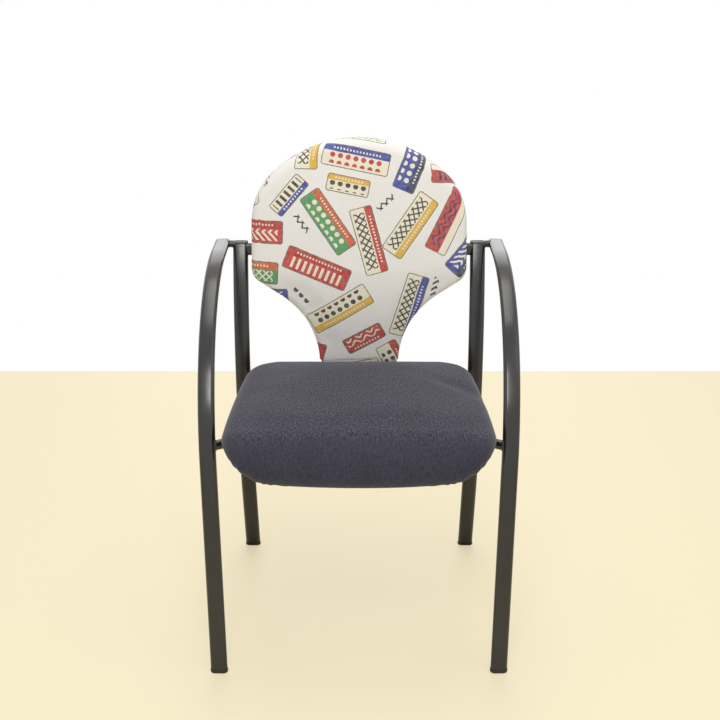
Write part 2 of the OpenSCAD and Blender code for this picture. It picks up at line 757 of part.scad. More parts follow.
// Pad over the back's outline: bulges away from the plane that lies rise(z) off the board's face.
// dir is -1 towards the sitter and 1 to the rear; the flat side lies flat(z) off the same face.
module back_pad(d, z0, dir, roll, rise_head, rise_neck, flat) {
    half = back_half(d, z0);
    rows = len(half) - 1;
    cols = 16;
    w = cols + 3;
    function slope(j) = norm([half[min(j + 1, rows)][0] - half[max(j - 1, 0)][0], 0]) == 0 ? 1
        : abs(half[min(j + 1, rows)][1] - half[max(j - 1, 0)][1])
          / norm(half[min(j + 1, rows)] - half[max(j - 1, 0)]);
    function blend_z(z) = min(1, max(0, (z - back_bend_z) / (shoulder_c[1] - back_bend_z)));
    function rise(z) = rise_neck + (rise_head - rise_neck) * blend_z(z);
    function rolled(e, r) = e >= r ? r : sqrt(max(0, pow(r, 2) - pow(r - e, 2)));
    function surf(j, x) =
        let (z = half[j][1],
             total = rise(z),
             r = min(roll, total),
             e = (half[j][0] - abs(x)) * max(slope(j), 0.12))
        [x, back_y(z) + dir * (total - r + rolled(e, r)), z];
    pts = concat(
        [for (j = [0:rows - 1]) for (c = [0:cols + 2])
            c <= cols ? surf(j, half[j][0] * sin(90 * (2 * c / cols - 1)))
            : [(c == cols + 1 ? -1 : 1) * half[j][0], back_y(half[j][1]) + flat, half[j][1]]],
        [surf(rows, 0), [0, back_y(half[rows][1]) + flat, half[rows][1]]]);
    pole = rows * w;
    function quad(a, b, c, e) = [[a, b, c], [a, c, e]];
    skin = [for (j = [0:rows - 2]) for (c = [0:cols - 1])
        for (t = quad(j * w + c, j * w + c + 1, (j + 1) * w + c + 1, (j + 1) * w + c)) t];
    flank = [for (j = [0:rows - 2]) for (t = concat(
        quad(j * w + cols + 1, j * w, (j + 1) * w, (j + 1) * w + cols + 1),
        quad(j * w + cols, j * w + cols + 2, (j + 1) * w + cols + 2, (j + 1) * w + cols),
        quad(j * w + cols + 2, j * w + cols + 1, (j + 1) * w + cols + 1, (j + 1) * w + cols + 2))) t];
    top = (rows - 1) * w;
    cap = concat([for (c = [0:cols - 1]) [top + c, top + c + 1, pole]],
        quad(top + cols + 1, top, pole, pole + 1),
        quad(top + cols, top + cols + 2, pole + 1, pole),
        [[top + cols + 2, top + cols + 1, pole + 1]]);
    foot = concat([for (c = [0:cols - 1]) [cols + 1, c + 1, c]], [[cols + 1, cols + 2, cols]]);
    faces = concat(skin, flank, cap, foot);
    polyhedron(points = pts, faces = dir < 0 ? [for (f = faces) [f[2], f[1], f[0]]] : faces);
}

// Slice of the back between two planes that follow the board's face, inside outline d above z0.
module back_slice(d, z0, y0, y1) {
    count = 12;
    z_end = head_top_z + 1;
    heights = concat([z0], [for (i = [0:count])
        back_bend_z + (back_bend_top - back_bend_z) * i / count], [z_end]);
    ring = concat([for (z = heights) [back_y(z) + y0, z]],
        [for (i = [len(heights) - 1:-1:0]) [back_y(heights[i]) + y1, heights[i]]]);
    intersection() {
        translate([-reach / 2, 0, 0]) rotate([90, 0, 90]) linear_extrude(reach) polygon(ring);
        translate([0, reach / 2, 0]) rotate([90, 0, 0]) linear_extrude(reach) polygon(back_plan(d, z0));
    }
}

// Places children on each upper back bolt: origin on the board's rear face, +Z out to the rear.
module at_bar_bolts() {
    for (side = [-1, 1])
        translate([side * bar_bolt_x, bar_y, bar_z]) rotate([-90 - back_lean, 0, 0])
            translate([0, 0, -bar_t / 2 - fit_gap - panel_depth * cos(back_lean)]) children();
}

// Places children on each neck bolt: origin on the board's front face, +Z to the rear.
module at_neck_bolts() {
    for (side = [-1, 1], up = [-1, 1])
        translate([side * neck_bolt_x, board_y, rear_tube[2] + up * neck_bolt_z])
            rotate([-90, 0, 0]) children();
}

board_depth = board_t * cos(back_lean);

module back_board() {
    color(plywood) placed()
        difference() {
            back_slice(board_inset, board_z, 0, board_t);
            at_bar_bolts() {
                translate([0, 0, -reach / 2]) cylinder(h = reach, d = tee_barrel_d + 2 * fit_gap);
                translate([0, 0, -reach - board_depth + tee_flange_t])
                    cylinder(h = reach, d = tee_flange_d + 2 * fit_gap);
            }
            at_neck_bolts() {
                translate([0, 0, -1]) cylinder(h = reach, d = tee_barrel_d + 2 * fit_gap);
                translate([0, 0, board_t - tee_flange_t])
                    cylinder(h = reach, d = tee_flange_d + 2 * fit_gap);
            }
        }
}

module back_foam() {
    color(foam) placed()
        difference() {
            back_pad(cover_t + fit_gap, upholstery_z + cover_t, -1, back_roll,
                head_foam, neck_foam, board_t - fit_gap);
            back_slice(board_inset - fit_gap, board_z, -fit_gap, reach);
        }
}

module back_cover() {
    color(back_fabric) placed()
        difference() {
            back_pad(0, upholstery_z, -1, back_roll + cover_t,
                head_foam + cover_t + fit_gap, neck_foam + cover_t + fit_gap, board_t);
            back_pad(cover_t, upholstery_z - 1, -1, back_roll,
                head_foam + fit_gap, neck_foam + fit_gap, board_t + 1);
        }
}

module back_panel() {
    color(plastic) placed()
        difference() {
            union() {
                difference() {
                    back_pad(panel_inset, board_z, 1, panel_depth - panel_wall, board_t + panel_depth,
                        board_t + panel_depth, board_t + fit_gap);
                    back_pad(panel_inset + panel_wall, board_z + panel_wall, 1,
                        panel_depth - 2 * panel_wall, board_t + panel_depth - panel_wall,
                        board_t + panel_depth - panel_wall, board_t - 1);
                }
                at_bar_bolts()
                    translate([0, 0, fit_gap])
                        cylinder(h = panel_depth * cos(back_lean) - 2 * fit_gap, d = washer_d);
            }
            at_bar_bolts() translate([0, 0, -1]) cylinder(h = reach / 20, d = bolt_d + hole_clear);
        }
}

// Flat tube between the rear legs, leaning with the back that it carries.
module back_bar() {
    color(steel) placed()
        difference() {
            translate([0, bar_y, bar_z]) rotate([-back_lean, 0, 0]) rotate([0, 90, 0])
                linear_extrude(2 * rear_at(bar_z)[0], center = true)
                    difference() {
                        flat_oval(bar_h, bar_t);
                        flat_oval(bar_h - 2 * bar_wall, bar_t - 2 * bar_wall);
                    }
            both_hands() rear_form(weld_gap);
            at_bar_bolts() cylinder(h = reach, d = bolt_d + hole_clear);
        }
}

// Plate behind the rear seat tube with two ribs that saddle it; the neck bolts to it.
module neck_bracket() {
    color(steel) placed()
        difference() {
            translate([0, 0, rear_tube[2]]) {
                translate([-bracket_w / 2, bracket_y, -bracket_h / 2])
                    cube([bracket_w, bracket_t, bracket_h]);
                for (side = [-1, 1])
                    translate([side * (bracket_w - bracket_t) / 2 - bracket_t / 2, rear_tube[1],
                        -bracket_h / 2])
                        cube([bracket_t, bracket_y - rear_tube[1] + bracket_t / 2, bracket_h]);
            }
            translate([0, rear_tube[1], rear_tube[2]]) rotate([0, 90, 0])
                cylinder(h = reach, d = cross_d + 2 * weld_gap, center = true);
            at_neck_bolts() translate([0, 0, -reach / 2]) cylinder(h = reach, d = bolt_d + hole_clear);
        }
}

module back_bolts() {
    color(zinc) placed()
        at_bar_bolts()
            translate([0, 0, panel_depth * cos(back_lean) + bar_t + fit_gap])
                rotate([180, 0, 0])
                    bolt(bar_t + fit_gap + panel_depth * cos(back_lean) + board_depth - tee_flange_t);
}

module back_tee_nuts() {
    color(zinc) placed()
        at_bar_bolts()
            translate([0, 0, -board_depth]) rotate([180, 0, 0]) tee_nut(board_depth - 1);
}

module neck_bolts() {
    color(zinc) placed()
        at_neck_bolts() translate([0, 0, -bracket_t]) bolt(bracket_t + board_t - tee_flange_t);
}

module neck_tee_nuts() {
    color(zinc) placed()
        at_neck_bolts() translate([0, 0, board_t]) tee_nut(board_t - 1);
}

arm_leg(false);  // left_arm_leg
arm_leg(true);  // right_arm_leg
rear_leg(false);  // left_rear_leg
rear_leg(true);  // right_rear_leg
arm_spacer(false);  // left_arm_spacer
arm_spacer(true);  // right_arm_spacer
arm_plug(false);  // left_arm_plug
arm_plug(true);  // right_arm_plug
rear_plug(false);  // left_rear_plug
rear_plug(true);  // right_rear_plug
front_glide(false);  // left_front_glide
front_glide(true);  // right_front_glide
rear_glide(false);  // left_rear_glide
rear_glide(true);  // right_rear_glide
front_seat_tube();
rear_seat_tube();
seat_tab(false, true);  // left_front_tab
seat_tab(true, true);  // right_front_tab
seat_tab(false, false);  // left_rear_tab
seat_tab(true, false);  // right_rear_tab
back_bar();
neck_bracket();
seat_pan();
seat_foam_pad();  // seat_foam
seat_cover();
seat_liner();
seat_bolts();
seat_washers();
seat_tee_nuts();
back_board();
back_foam();
back_cover();
back_panel();
back_bolts();
back_tee_nuts();
neck_bolts();
neck_tee_nuts();
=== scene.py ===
"""Looks of the visitor chair: powder-coated tube frame, woven seat and printed back.

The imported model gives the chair's place and its hidden pieces. Each sub-assembly is a class: its
sizes are in millimetres, like the model's own, and its methods build the meshes and dress them.
Right-hand pieces are made at +X and mirrored for the left.
"""
import logging
import math
import random
from collections.abc import Callable, Iterable, Sequence
from dataclasses import dataclass, field
from enum import Enum
from functools import partial

import bpy
import numpy as np
from mathutils import Matrix, Vector
from mathutils.bvhtree import BVHTree


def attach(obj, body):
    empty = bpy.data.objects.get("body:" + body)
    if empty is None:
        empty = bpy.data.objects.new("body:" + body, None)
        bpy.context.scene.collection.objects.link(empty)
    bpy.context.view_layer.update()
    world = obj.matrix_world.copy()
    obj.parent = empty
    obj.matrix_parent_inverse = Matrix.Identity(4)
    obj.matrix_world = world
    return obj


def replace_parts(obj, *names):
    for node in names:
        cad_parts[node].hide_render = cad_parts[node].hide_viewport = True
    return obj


LOG = logging.getLogger("visitor_chair")
MM = 0.001
BODY = "root"
UP = Vector((0, 0, 1))

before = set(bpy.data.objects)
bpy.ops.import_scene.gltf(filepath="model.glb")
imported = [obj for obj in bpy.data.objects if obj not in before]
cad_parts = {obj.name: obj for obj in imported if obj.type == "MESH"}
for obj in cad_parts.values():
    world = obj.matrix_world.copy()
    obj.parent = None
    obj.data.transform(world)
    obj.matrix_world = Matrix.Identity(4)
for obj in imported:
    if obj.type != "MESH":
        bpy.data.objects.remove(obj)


class Side(Enum):
    """Which hand a piece is made for, with the factor that its X takes."""

    RIGHT = 1.0
    LEFT = -1.0

    @property
    def word(self) -> str:
        """The hand as it stands in node names."""
        return self.name.lower()


def linear(code: str) -> tuple[float, float, float, float]:
    """Turn an sRGB hex colour into the linear colour that a shader takes.

    Args:
        code: Six hex digits, such as "f4e8d0".

    Returns:
        Red, green, blue and alpha, each from 0 to 1.
    """
    parts = [int(code[i:i + 2], 16) / 255 for i in (0, 2, 4)]
    red, green, blue = (p / 12.92 if p <= 0.04045 else ((p + 0.055) / 1.055) ** 2.4 for p in parts)
    return red, green, blue, 1.0


def per_mm(size: float) -> float:
    """Scale that gives a texture in metres features of a size in millimetres."""
    return 1 / (size * MM)


def bands(size: float) -> float:
    """Scale that gives a wave texture in metres bands of a width in millimetres."""
    return math.pi / (10 * size * MM)


def add_node(tree: bpy.types.NodeTree, kind: str, inputs: dict | None = None,
             **settings: str) -> bpy.types.Node:
    """Add a node to a tree with its settings and its inputs.

    Args:
        tree: The tree that gets the node.
        kind: The node's type name, without its prefix.
        inputs: Socket names or numbers, each with a value, or with the socket that it is linked
            from, or with a node whose first output in use it is linked from.
        **settings: The node's attributes and their values.

    Returns:
        The new node.
    """
    node = tree.nodes.new(f"ShaderNode{kind}")
    for key, value in settings.items():
        setattr(node, key, value)
    for key, value in (inputs or {}).items():
        if isinstance(value, bpy.types.Node):
            value = next(socket for socket in value.outputs if socket.enabled)
        if isinstance(value, bpy.types.NodeSocket):
            tree.links.new(value, node.inputs[key])
        else:
            node.inputs[key].default_value = value
    return node


@dataclass(frozen=True)
class Finish:
    """One real finish. A subclass draws it in its draw method."""

    name: str
    slot: str

    def material(self) -> bpy.types.Material:
        """Build the finish's material, or return the one that was built before."""
        found = bpy.data.materials.get(self.name)
        if found:
            return found
        made = bpy.data.materials.new(self.name)
        made.use_nodes = True
        made.node_tree.nodes.clear()
        add = partial(add_node, made.node_tree)
        add("OutputMaterial", {"Surface": self.draw(add)})
        return made

    def draw(self, add: Callable[..., bpy.types.Node]) -> bpy.types.Node:
        """Draw the finish into a tree.

        Args:
            add: Adds a node to the material's empty tree.

        Returns:
            The shader node that feeds the output.
        """
        raise NotImplementedError

    def clouded(self, add: Callable[..., bpy.types.Node], cloud: float, detail: float,
                colours: tuple[str, str],
                rough: tuple[float, float]) -> tuple[bpy.types.Node, bpy.types.Node]:
        """Draw slow clouds in which colour and gloss drift together.

        Args:
            add: Adds a node to the tree.
            cloud: Size of a cloud in millimetres.
            detail: How ragged its edge is.
            colours: The colours outside and inside it.
            rough: The roughness outside and inside it.

        Returns:
            The nodes that give the colour and the roughness.
        """
        place = add("TexCoord").outputs["Object"]
        slow = add("TexNoise", {"Vector": place, "Scale": per_mm(cloud), "Detail": detail})
        colour = add("Mix", {0: slow, 6: linear(colours[0]), 7: linear(colours[1])}, data_type="RGBA")
        return colour, add("MapRange", {
            "Value": slow, "From Min": 0.3, "From Max": 0.7, "To Min": rough[0], "To Max": rough[1]})

    def lay_on(self, data: bpy.types.Mesh) -> None:
        """Prepare a mesh for the finish, for the finishes that need it."""

    def dress(self, piece: bpy.types.Object) -> bpy.types.Object:
        """Give a piece this finish.

        Args:
            piece: The object to dress.

        Returns:
            The same object.
        """
        piece.data.materials.clear()
        piece.data.materials.append(self.material())
        return piece


@dataclass(frozen=True)
class PowderCoat(Finish):
    """Black polyester powder, sprayed on steel and baked: satin, with a faint orange peel."""

    name: str = "satin_powder_coat"
    slot: str = "frame_steel"
    colour: str = "15110c"
    worn: str = "1f1a14"
    peel: float = 1.6
    blotch: float = 60.0

    def draw(self, add: Callable[..., bpy.types.Node]) -> bpy.types.Node:
        """Draw slow changes of gloss under a fine peel."""
        colour, gloss = self.clouded(add, self.blotch, 4.0, (self.colour, self.worn), (0.18, 0.26))
        fine = add("TexNoise", {
            "Vector": add("TexCoord").outputs["Object"], "Scale": per_mm(self.peel), "Detail": 2.0,
            "Roughness": 0.4})
        bump = add("Bump", {"Height": fine, "Strength": 0.16, "Distance": 0.25 * MM})
        return add("BsdfPrincipled", {"Base Color": colour, "Roughness": gloss, "Normal": bump, "IOR": 1.6})


@dataclass(frozen=True)
class MouldedPlastic(Finish):
    """Injection-moulded plastic out of a spark-eroded mould: matt, with a fine even grain."""

    name: str = "moulded_polyamide"
    slot: str = "end_plastic"
    colour: str = "1a1a1b"
    light: str = "242425"
    grain: float = 0.9
    roughness: float = 0.5
    depth: float = 0.08
    cloud: float = 45.0

    def draw(self, add: Callable[..., bpy.types.Node]) -> bpy.types.Node:
        """Draw the mould's grain as cells that share one height field."""
        colour, rough = self.clouded(add, self.cloud, 3.0, (self.colour, self.light),
                                     (self.roughness - 0.05, self.roughness + 0.06))
        cells = add("TexVoronoi", {
            "Vector": add("TexCoord").outputs["Object"], "Scale": per_mm(self.grain), "Smoothness": 0.6},
                    feature="SMOOTH_F1")
        bump = add("Bump", {"Height": cells, "Strength": 0.5, "Distance": self.depth * MM})
        return add("BsdfPrincipled", {"Base Color": colour, "Roughness": rough, "Normal": bump, "IOR": 1.52})


@dataclass(frozen=True)
class ZincPlate(Finish):
    """Zinc-plated steel: cold grey with cloudy, slightly yellow passivation."""

    name: str = "zinc_plate"
    slot: str = "zinc"
    colour: str = "b4b9bf"
    stained: str = "a8a593"
    cloud: float = 7.0

    def draw(self, add: Callable[..., bpy.types.Node]) -> bpy.types.Node:
        """Draw a metal whose tint and gloss drift together."""
        colour, rough = self.clouded(add, self.cloud, 5.0, (self.colour, self.stained), (0.28, 0.42))
        return add("BsdfPrincipled", {"Base Color": colour, "Roughness": rough, "Metallic": 1.0})


@dataclass(frozen=True)
class BirchPly(Finish):
    """Sanded birch plywood: pale, rotary-cut, with a figure that is drawn out along the sheet."""

    name: str = "birch_plywood"
    slot: str = "plywood"
    pale: str = "d8bd8f"
    dark: str = "b08a58"
    pore: float = 1.4
    figure: float = 26.0

    def draw(self, add: Callable[..., bpy.types.Node]) -> bpy.types.Node:
        """Draw drawn-out figure and fine pores."""
        place = add("TexCoord").outputs["Object"]
        drawn = add("Mapping", {"Vector": place, "Scale": (0.12, 1.0, 1.0)})
        figure = add("TexNoise", {
            "Vector": drawn, "Scale": per_mm(self.figure), "Detail": 6.0, "Distortion": 0.6})
        pores = add("TexNoise", {"Vector": drawn, "Scale": per_mm(self.pore), "Detail": 2.0})
        mixed = add("Math", {0: figure, 1: pores}, operation="MULTIPLY")
        spread = add("MapRange", {"Value": mixed, "From Min": 0.12, "From Max": 0.4})
        colour = add("Mix", {0: spread, 6: linear(self.dark), 7: linear(self.pale)}, data_type="RGBA")
        bump = add("Bump", {"Height": pores, "Strength": 0.2, "Distance": 0.1 * MM})
        return add("BsdfPrincipled", {"Base Color": colour, "Roughness": 0.6, "Normal": bump, "IOR": 1.5})


@dataclass(frozen=True)
class DustLiner(Finish):
    """Spun-bonded polypropylene: thin black fleece pressed with a grid of small dots."""

    name: str = "spun_bond_liner"
    slot: str = "liner_cloth"
    colour: str = "19191b"
    fibre: str = "2e2e31"
    strand: float = 1.1
    dot: float = 2.2

    def draw(self, add: Callable[..., bpy.types.Node]) -> bpy.types.Node:
        """Draw loose fibres, held down by bond dots that are drawn coarse enough to show."""
        place = add("TexCoord").outputs["Object"]
        fibres = add("TexNoise", {
            "Vector": place, "Scale": per_mm(self.strand), "Detail": 6.0, "Distortion": 2.0})
        dots = add("TexVoronoi", {"Vector": place, "Scale": per_mm(self.dot), "Randomness": 0.1})
        colour = add("Mix", {0: fibres, 6: linear(self.colour), 7: linear(self.fibre)}, data_type="RGBA")
        height = add("Math", {0: dots, 1: fibres}, operation="ADD")
        bump = add("Bump", {"Height": height, "Strength": 0.6, "Distance": 0.2 * MM})
        return add("BsdfPrincipled", {"Base Color": colour, "Roughness": 0.85, "Normal": bump})


@dataclass(frozen=True)
class SeatWeave(Finish):
    """Charcoal-blue hopsack, woven from mottled crêpe yarn: matt, with pale flecks.

    The yarn is about 0.8 mm thick, which is too fine for the render, so it is drawn at twice that.
    The slubs, where a yarn is thick and pale, and the clumps, where slubs meet, are drawn coarser for
    the same reason. Wear has raised the fleck on the level top and left it fine where the cloth hangs.
    """

    name: str = "charcoal_blue_hopsack"
    slot: str = "seat_fabric"
    dark: str = "06060c"
    light: str = "545365"
    brown: str = "2b2624"
    yarn: float = 1.8
    slub: tuple[float, float] = (3.4, 1.4)
    clump: tuple[float, float] = (3.2, 6.0)
    drift: float = 70.0
    mean: float = 0.735
    shares: tuple[float, float] = (0.54, 0.96)

    def draw(self, add: Callable[..., bpy.types.Node]) -> bpy.types.Node:
        """Draw crossing yarns in cloth coordinates, each with its own slubs, and let them drift in hue."""
        cloth = add("UVMap", uv_map="cloth")
        heights, flecks = [], []
        for turn in (0.0, math.pi / 2):
            laid = add("Mapping", {"Vector": cloth, "Rotation": (0.0, 0.0, turn)})
            heights.append(add("TexWave", {
                "Vector": laid, "Scale": bands(self.yarn), "Distortion": 1.2,
                "Detail": 2.0, "Detail Scale": 3.0}, bands_direction="X").outputs["Fac"])
            drawn = add("Mapping", {
                "Vector": laid, "Location": (turn, 0.0, 0.0),
                "Scale": (per_mm(self.slub[1]), per_mm(self.slub[0]), 1.0)})
            flecks.append(add("TexNoise", {"Vector": drawn, "Scale": 1.0, "Detail": 3.0, "Roughness": 0.7}))
        height = add("Math", dict(enumerate(heights)), operation="MULTIPLY")
        fine = add("Math", dict(enumerate(flecks)), operation="ADD")
        wide = add("Mapping", {"Vector": cloth, "Scale": (per_mm(self.clump[0]), per_mm(self.clump[1]), 1.0)})
        clumps = add("TexNoise", {"Vector": wide, "Scale": 1.0, "Detail": 2.0, "Roughness": 0.6})
        facing = add("NewGeometry").outputs["Normal"]
        upward = add("SeparateXYZ", {0: facing}).outputs[2]
        rubbed = add("MapRange", {"Value": upward, "From Min": 0.8, "To Min": 0.8, "To Max": 1.1})
        pressed = add("MapRange", {"Value": upward, "From Min": 0.88, "To Min": 0.3})
        uneven = add("Math", {0: clumps, 1: 0.5}, operation="SUBTRACT")
        coarse = add("Math", {0: uneven, 1: pressed, 2: 0.35}, operation="MULTIPLY_ADD")
        fleck = add("Math", {0: fine, 1: 0.35, 2: coarse}, operation="MULTIPLY_ADD")
        share = add("Math", {0: height, 1: 0.15, 2: fleck}, operation="MULTIPLY_ADD")
        around = add("Math", {0: share, 1: self.mean}, operation="SUBTRACT")
        worn = add("Math", {0: around, 1: rubbed, 2: self.mean}, operation="MULTIPLY_ADD")
        spread = add("MapRange", {"Value": worn, "From Min": self.shares[0], "From Max": self.shares[1]})
        yarn = add("Mix", {0: spread, 6: linear(self.dark), 7: linear(self.light)}, data_type="RGBA")
        slow = add("TexNoise", {"Vector": cloth, "Scale": per_mm(self.drift), "Detail": 3.0})
        dusty = add("MapRange", {"Value": slow, "From Min": 0.4, "From Max": 0.75, "To Max": 0.35})
        colour = add("Mix", {0: dusty, 6: yarn, 7: linear(self.brown)}, data_type="RGBA")
        bump = add("Bump", {"Height": fine, "Strength": 0.15, "Distance": 0.25 * MM})
        return add("BsdfPrincipled", {
            "Base Color": colour, "Roughness": 0.92, "Normal": bump,
            "Specular IOR Level": 0.2, "Sheen Weight": 0.2, "Sheen Roughness": 0.5})


class Motif(Enum):
    """The marks that a printed tag can carry."""

    STRIPES = 0
    DOTS = 1
    CHEVRONS = 2
    WAVES = 3
    LATTICE = 4


@dataclass(frozen=True)
class Tag:
    """One printed tag on the cloth: its place, turn, size in millimetres, marks and inks."""

    centre: tuple[float, float]
    turn: float
    half: tuple[float, float]
    motif: Motif
    inks: tuple[str, str, str]
    bare: bool = False

    @property
    def spine(self) -> np.ndarray:
        """Points along the tag's middle line, which tell how near two tags lie."""
        reach = (self.half[0] - self.half[1]) * np.linspace(-1, 1, 9)
        return np.array(self.centre) + reach[:, None] * (math.cos(self.turn), math.sin(self.turn))

    def clears(self, other: "Tag", gap: float) -> bool:
        """Tell whether this tag keeps a gap from another one.

        Args:
            other: The tag to compare with.
            gap: The least distance between them.

        Returns:
            True if they stand at least that far apart.
        """
        apart = np.linalg.norm(self.spine[:, None] - other.spine[None], axis=2).min()
        return bool(apart > (self.half[1] + other.half[1]) * 1.08 + gap)

    def local(self, cloth: np.ndarray) -> np.ndarray:
        """How far points of the cloth lie along and across the tag."""
        cos, sin = math.cos(self.turn), math.sin(self.turn)
        x, y = np.moveaxis(cloth - np.array(self.centre), -1, 0)
        return np.stack([x * cos + y * sin, y * cos - x * sin], axis=-1)

    def distance(self, cloth: np.ndarray) -> np.ndarray:
        """How far points of the cloth lie outside the tag."""
        over = np.maximum(np.abs(self.local(cloth)) - np.array(self.half), 0.0)
        return np.linalg.norm(over, axis=-1)


@dataclass(frozen=True)
class PrintedCanvas(Finish):
    """Cream cotton canvas, screen-printed with scattered tags of plain marks in flat, faded inks.

    Every face of the cloth is told which tag lies nearest: its corners carry their places on that tag,
    and its inks. The material then draws that one tag with sharp edges. A tag has a ground and, along
    one side, a band, and a bare tag only its marks. Threads are about 0.5 mm apart, which is too fine
    for the render, so they are drawn at more than twice that.
    """

    name: str = "printed_canvas"
    slot: str = "back_fabric"
    cream: str = "f3f0ec"
    shade: str = "ebe7e0"
    thread: float = 1.3
    slub: float = 9.0
    wear: float = 2.6
    seed: int = 72
    gap: float = 3.0
    corner: float = 5.0
    rim: float = 1.7
    rim_ink: str = "6b6249"
    bare_ink: str = "3a3733"
    plate: str = "efe7cf"
    # The inks of a tag's ground, band and marks; the tags take these sets in turn.
    schemes: tuple[tuple[str, str, str], ...] = (
        ("c23b36", "b8322f", "efe7cf"), ("efe7cf", "e0b23a", "33322f"), ("efe7cf", "3c4ba0", "c23b36"),
        ("4f9a5c", "cf5f35", "efe7cf"), ("efe7cf", "c23b36", "33322f"), ("3c4ba0", "34365c", "efe7cf"),
        ("efe7cf", "33322f", "4f9a5c"), ("c23b36", "efe7cf", "34365c"), ("efe7cf", "3c4ba0", "33322f"))
    # Half length and half width of each size of tag, how often one is tried, and whether it is bare.
    sizes: tuple[tuple[tuple[float, float], int, bool], ...] = (
        ((66.0, 22.5), 900, False), ((55.0, 19.5), 900, False), ((42.0, 17.0), 500, False),
        ((24.0, 11.0), 500, True))
    area: tuple[float, float, float, float] = (-250.0, 250.0, 400.0, 900.0)

    def lay_out(self) -> list[Tag]:
        """Scatter tags of four sizes over the cloth, large ones first, from a fixed seed."""
        rng = random.Random(self.seed)
        tags: list[Tag] = []
        for half, tries, bare in self.sizes:
            for _ in range(tries):
                tag = Tag((rng.uniform(*self.area[:2]), rng.uniform(*self.area[2:])),
                          rng.uniform(0.0, math.pi), half, rng.choice(list(Motif)),
                          self.schemes[len(tags) % len(self.schemes)], bare)
                if all(tag.clears(other, self.gap) for other in tags):
                    tags.append(tag)
        return tags

    def lay_on(self, data: bpy.types.Mesh) -> None:
        """Tell every face of a mesh which tag lies nearest, and how its corners lie on that tag.

        Args:
            data: A mesh with the cloth's coordinates in its first layer.
        """
        flat = read(data.uv_layers["cloth"].data, "uv", 2) / MM
        totals = read(data.polygons, "loop_total", 1, int).ravel()
        face_of = np.repeat(np.arange(len(totals)), totals)
        centres = np.stack([np.bincount(face_of, flat[:, k]) / totals for k in (0, 1)], axis=1)
        tags = self.lay_out()
        nearest = np.argmin(np.stack([tag.distance(centres) for tag in tags]), axis=0)[face_of]
        local = np.zeros((len(flat), 2))
        for number, tag in enumerate(tags):
            here = nearest == number
            local[here] = tag.local(flat[here])
        data.uv_layers.new(name="tag").data.foreach_set("uv", (local * MM).ravel())
        sizes = np.array([(*tag.half, tag.motif.value) for tag in tags])[nearest]
        data.attributes.new("tag_size", "FLOAT_VECTOR", "CORNER").data.foreach_set("vector", sizes.ravel())
        for k, part in enumerate(("ground", "band", "mark")):
            inks = np.array([(*linear(tag.inks[k])[:3], float(not tag.bare)) for tag in tags])[nearest]
            layer = data.attributes.new(f"ink_{part}", "FLOAT_COLOR", "CORNER")
            layer.data.foreach_set("color", inks.ravel())

    @property
    def sums(self) -> tuple[tuple[str | float, ...], ...]:
        """The sums behind the print, each with its name, its operation and its terms.

        They start from x and y, the distance in millimetres along and across the tag, from long and
        wide, its half length and half width, and from reach, the distance to its rounded outline. A
        sum that is named for a motif is 1 on the marks of that motif.
        """
        return (
            ("fray", "MULTIPLY_ADD", "wear", 1.8, -0.9), ("edge", "ADD", "reach", "fray"),
            ("cover", "LESS_THAN", "edge", self.corner),
            ("inside", "LESS_THAN", "edge", self.corner - self.rim),
            ("x_out", "ABSOLUTE", "x"), ("y_out", "ABSOLUTE", "y"),
            ("split", "MULTIPLY", "wide", -0.32), ("below", "LESS_THAN", "y", "split"),
            ("x_end", "MULTIPLY", "long", 0.84), ("x_in", "LESS_THAN", "x_out", "x_end"),
            ("top", "MULTIPLY", "wide", 0.74), ("under_top", "LESS_THAN", "y", "top"),
            ("foot", "MULTIPLY", "wide", -0.22), ("over_foot", "GREATER_THAN", "y", "foot"),
            ("y_in", "MULTIPLY", "under_top", "over_foot"), ("framed", "MULTIPLY", "x_in", "y_in"),
            ("bar", "PINGPONG", "x", 6.0), ("STRIPES", "LESS_THAN", "bar", 2.8),
            ("dot_x", "PINGPONG", "x", 7.6), ("dot_y", "PINGPONG", "y", 7.6),
            ("dot_xx", "MULTIPLY", "dot_x", "dot_x"), ("dot_far", "MULTIPLY_ADD", "dot_y", "dot_y", "dot_xx"),
            ("DOTS", "LESS_THAN", "dot_far", 5.0 ** 2),
            ("slant", "ADD", "x", "y_out"), ("zigzag", "PINGPONG", "slant", 6.4),
            ("CHEVRONS", "LESS_THAN", "zigzag", 2.9),
            ("phase", "MULTIPLY", "x", 0.26), ("sine", "SINE", "phase"),
            ("swing", "MULTIPLY_ADD", "sine", -4.2, "y"), ("wave", "PINGPONG", "swing", 5.6),
            ("WAVES", "LESS_THAN", "wave", 2.1),
            ("rise", "ADD", "x", "y"), ("rising", "PINGPONG", "rise", 7.0),
            ("fall", "SUBTRACT", "x", "y"), ("falling", "PINGPONG", "fall", 7.0),
            ("wire", "MINIMUM", "rising", "falling"), ("LATTICE", "LESS_THAN", "wire", 2.0),
            *(term for motif in Motif for term in (
                (f"is_{motif.name}", "COMPARE", "kind", float(motif.value), 0.4),
                ("marks", "MULTIPLY_ADD", motif.name, f"is_{motif.name}", "marks"))),
            ("marked", "MULTIPLY", "marks", "framed"), ("bare_marked", "MULTIPLY", "marked", "inside"),
            ("beat", "PINGPONG", "x", 3.2), ("on", "LESS_THAN", "beat", 1.6),
            ("row", "MULTIPLY", "wide", -0.62), ("in_row", "COMPARE", "y", "row", 1.9),
            ("row_end", "MULTIPLY", "long", 0.7), ("row_in", "LESS_THAN", "x_out", "row_end"),
            ("dashed", "MULTIPLY", "on", "in_row"), ("dashes", "MULTIPLY", "dashed", "row_in"),
            ("band_dashes", "MULTIPLY", "dashes", "below"))

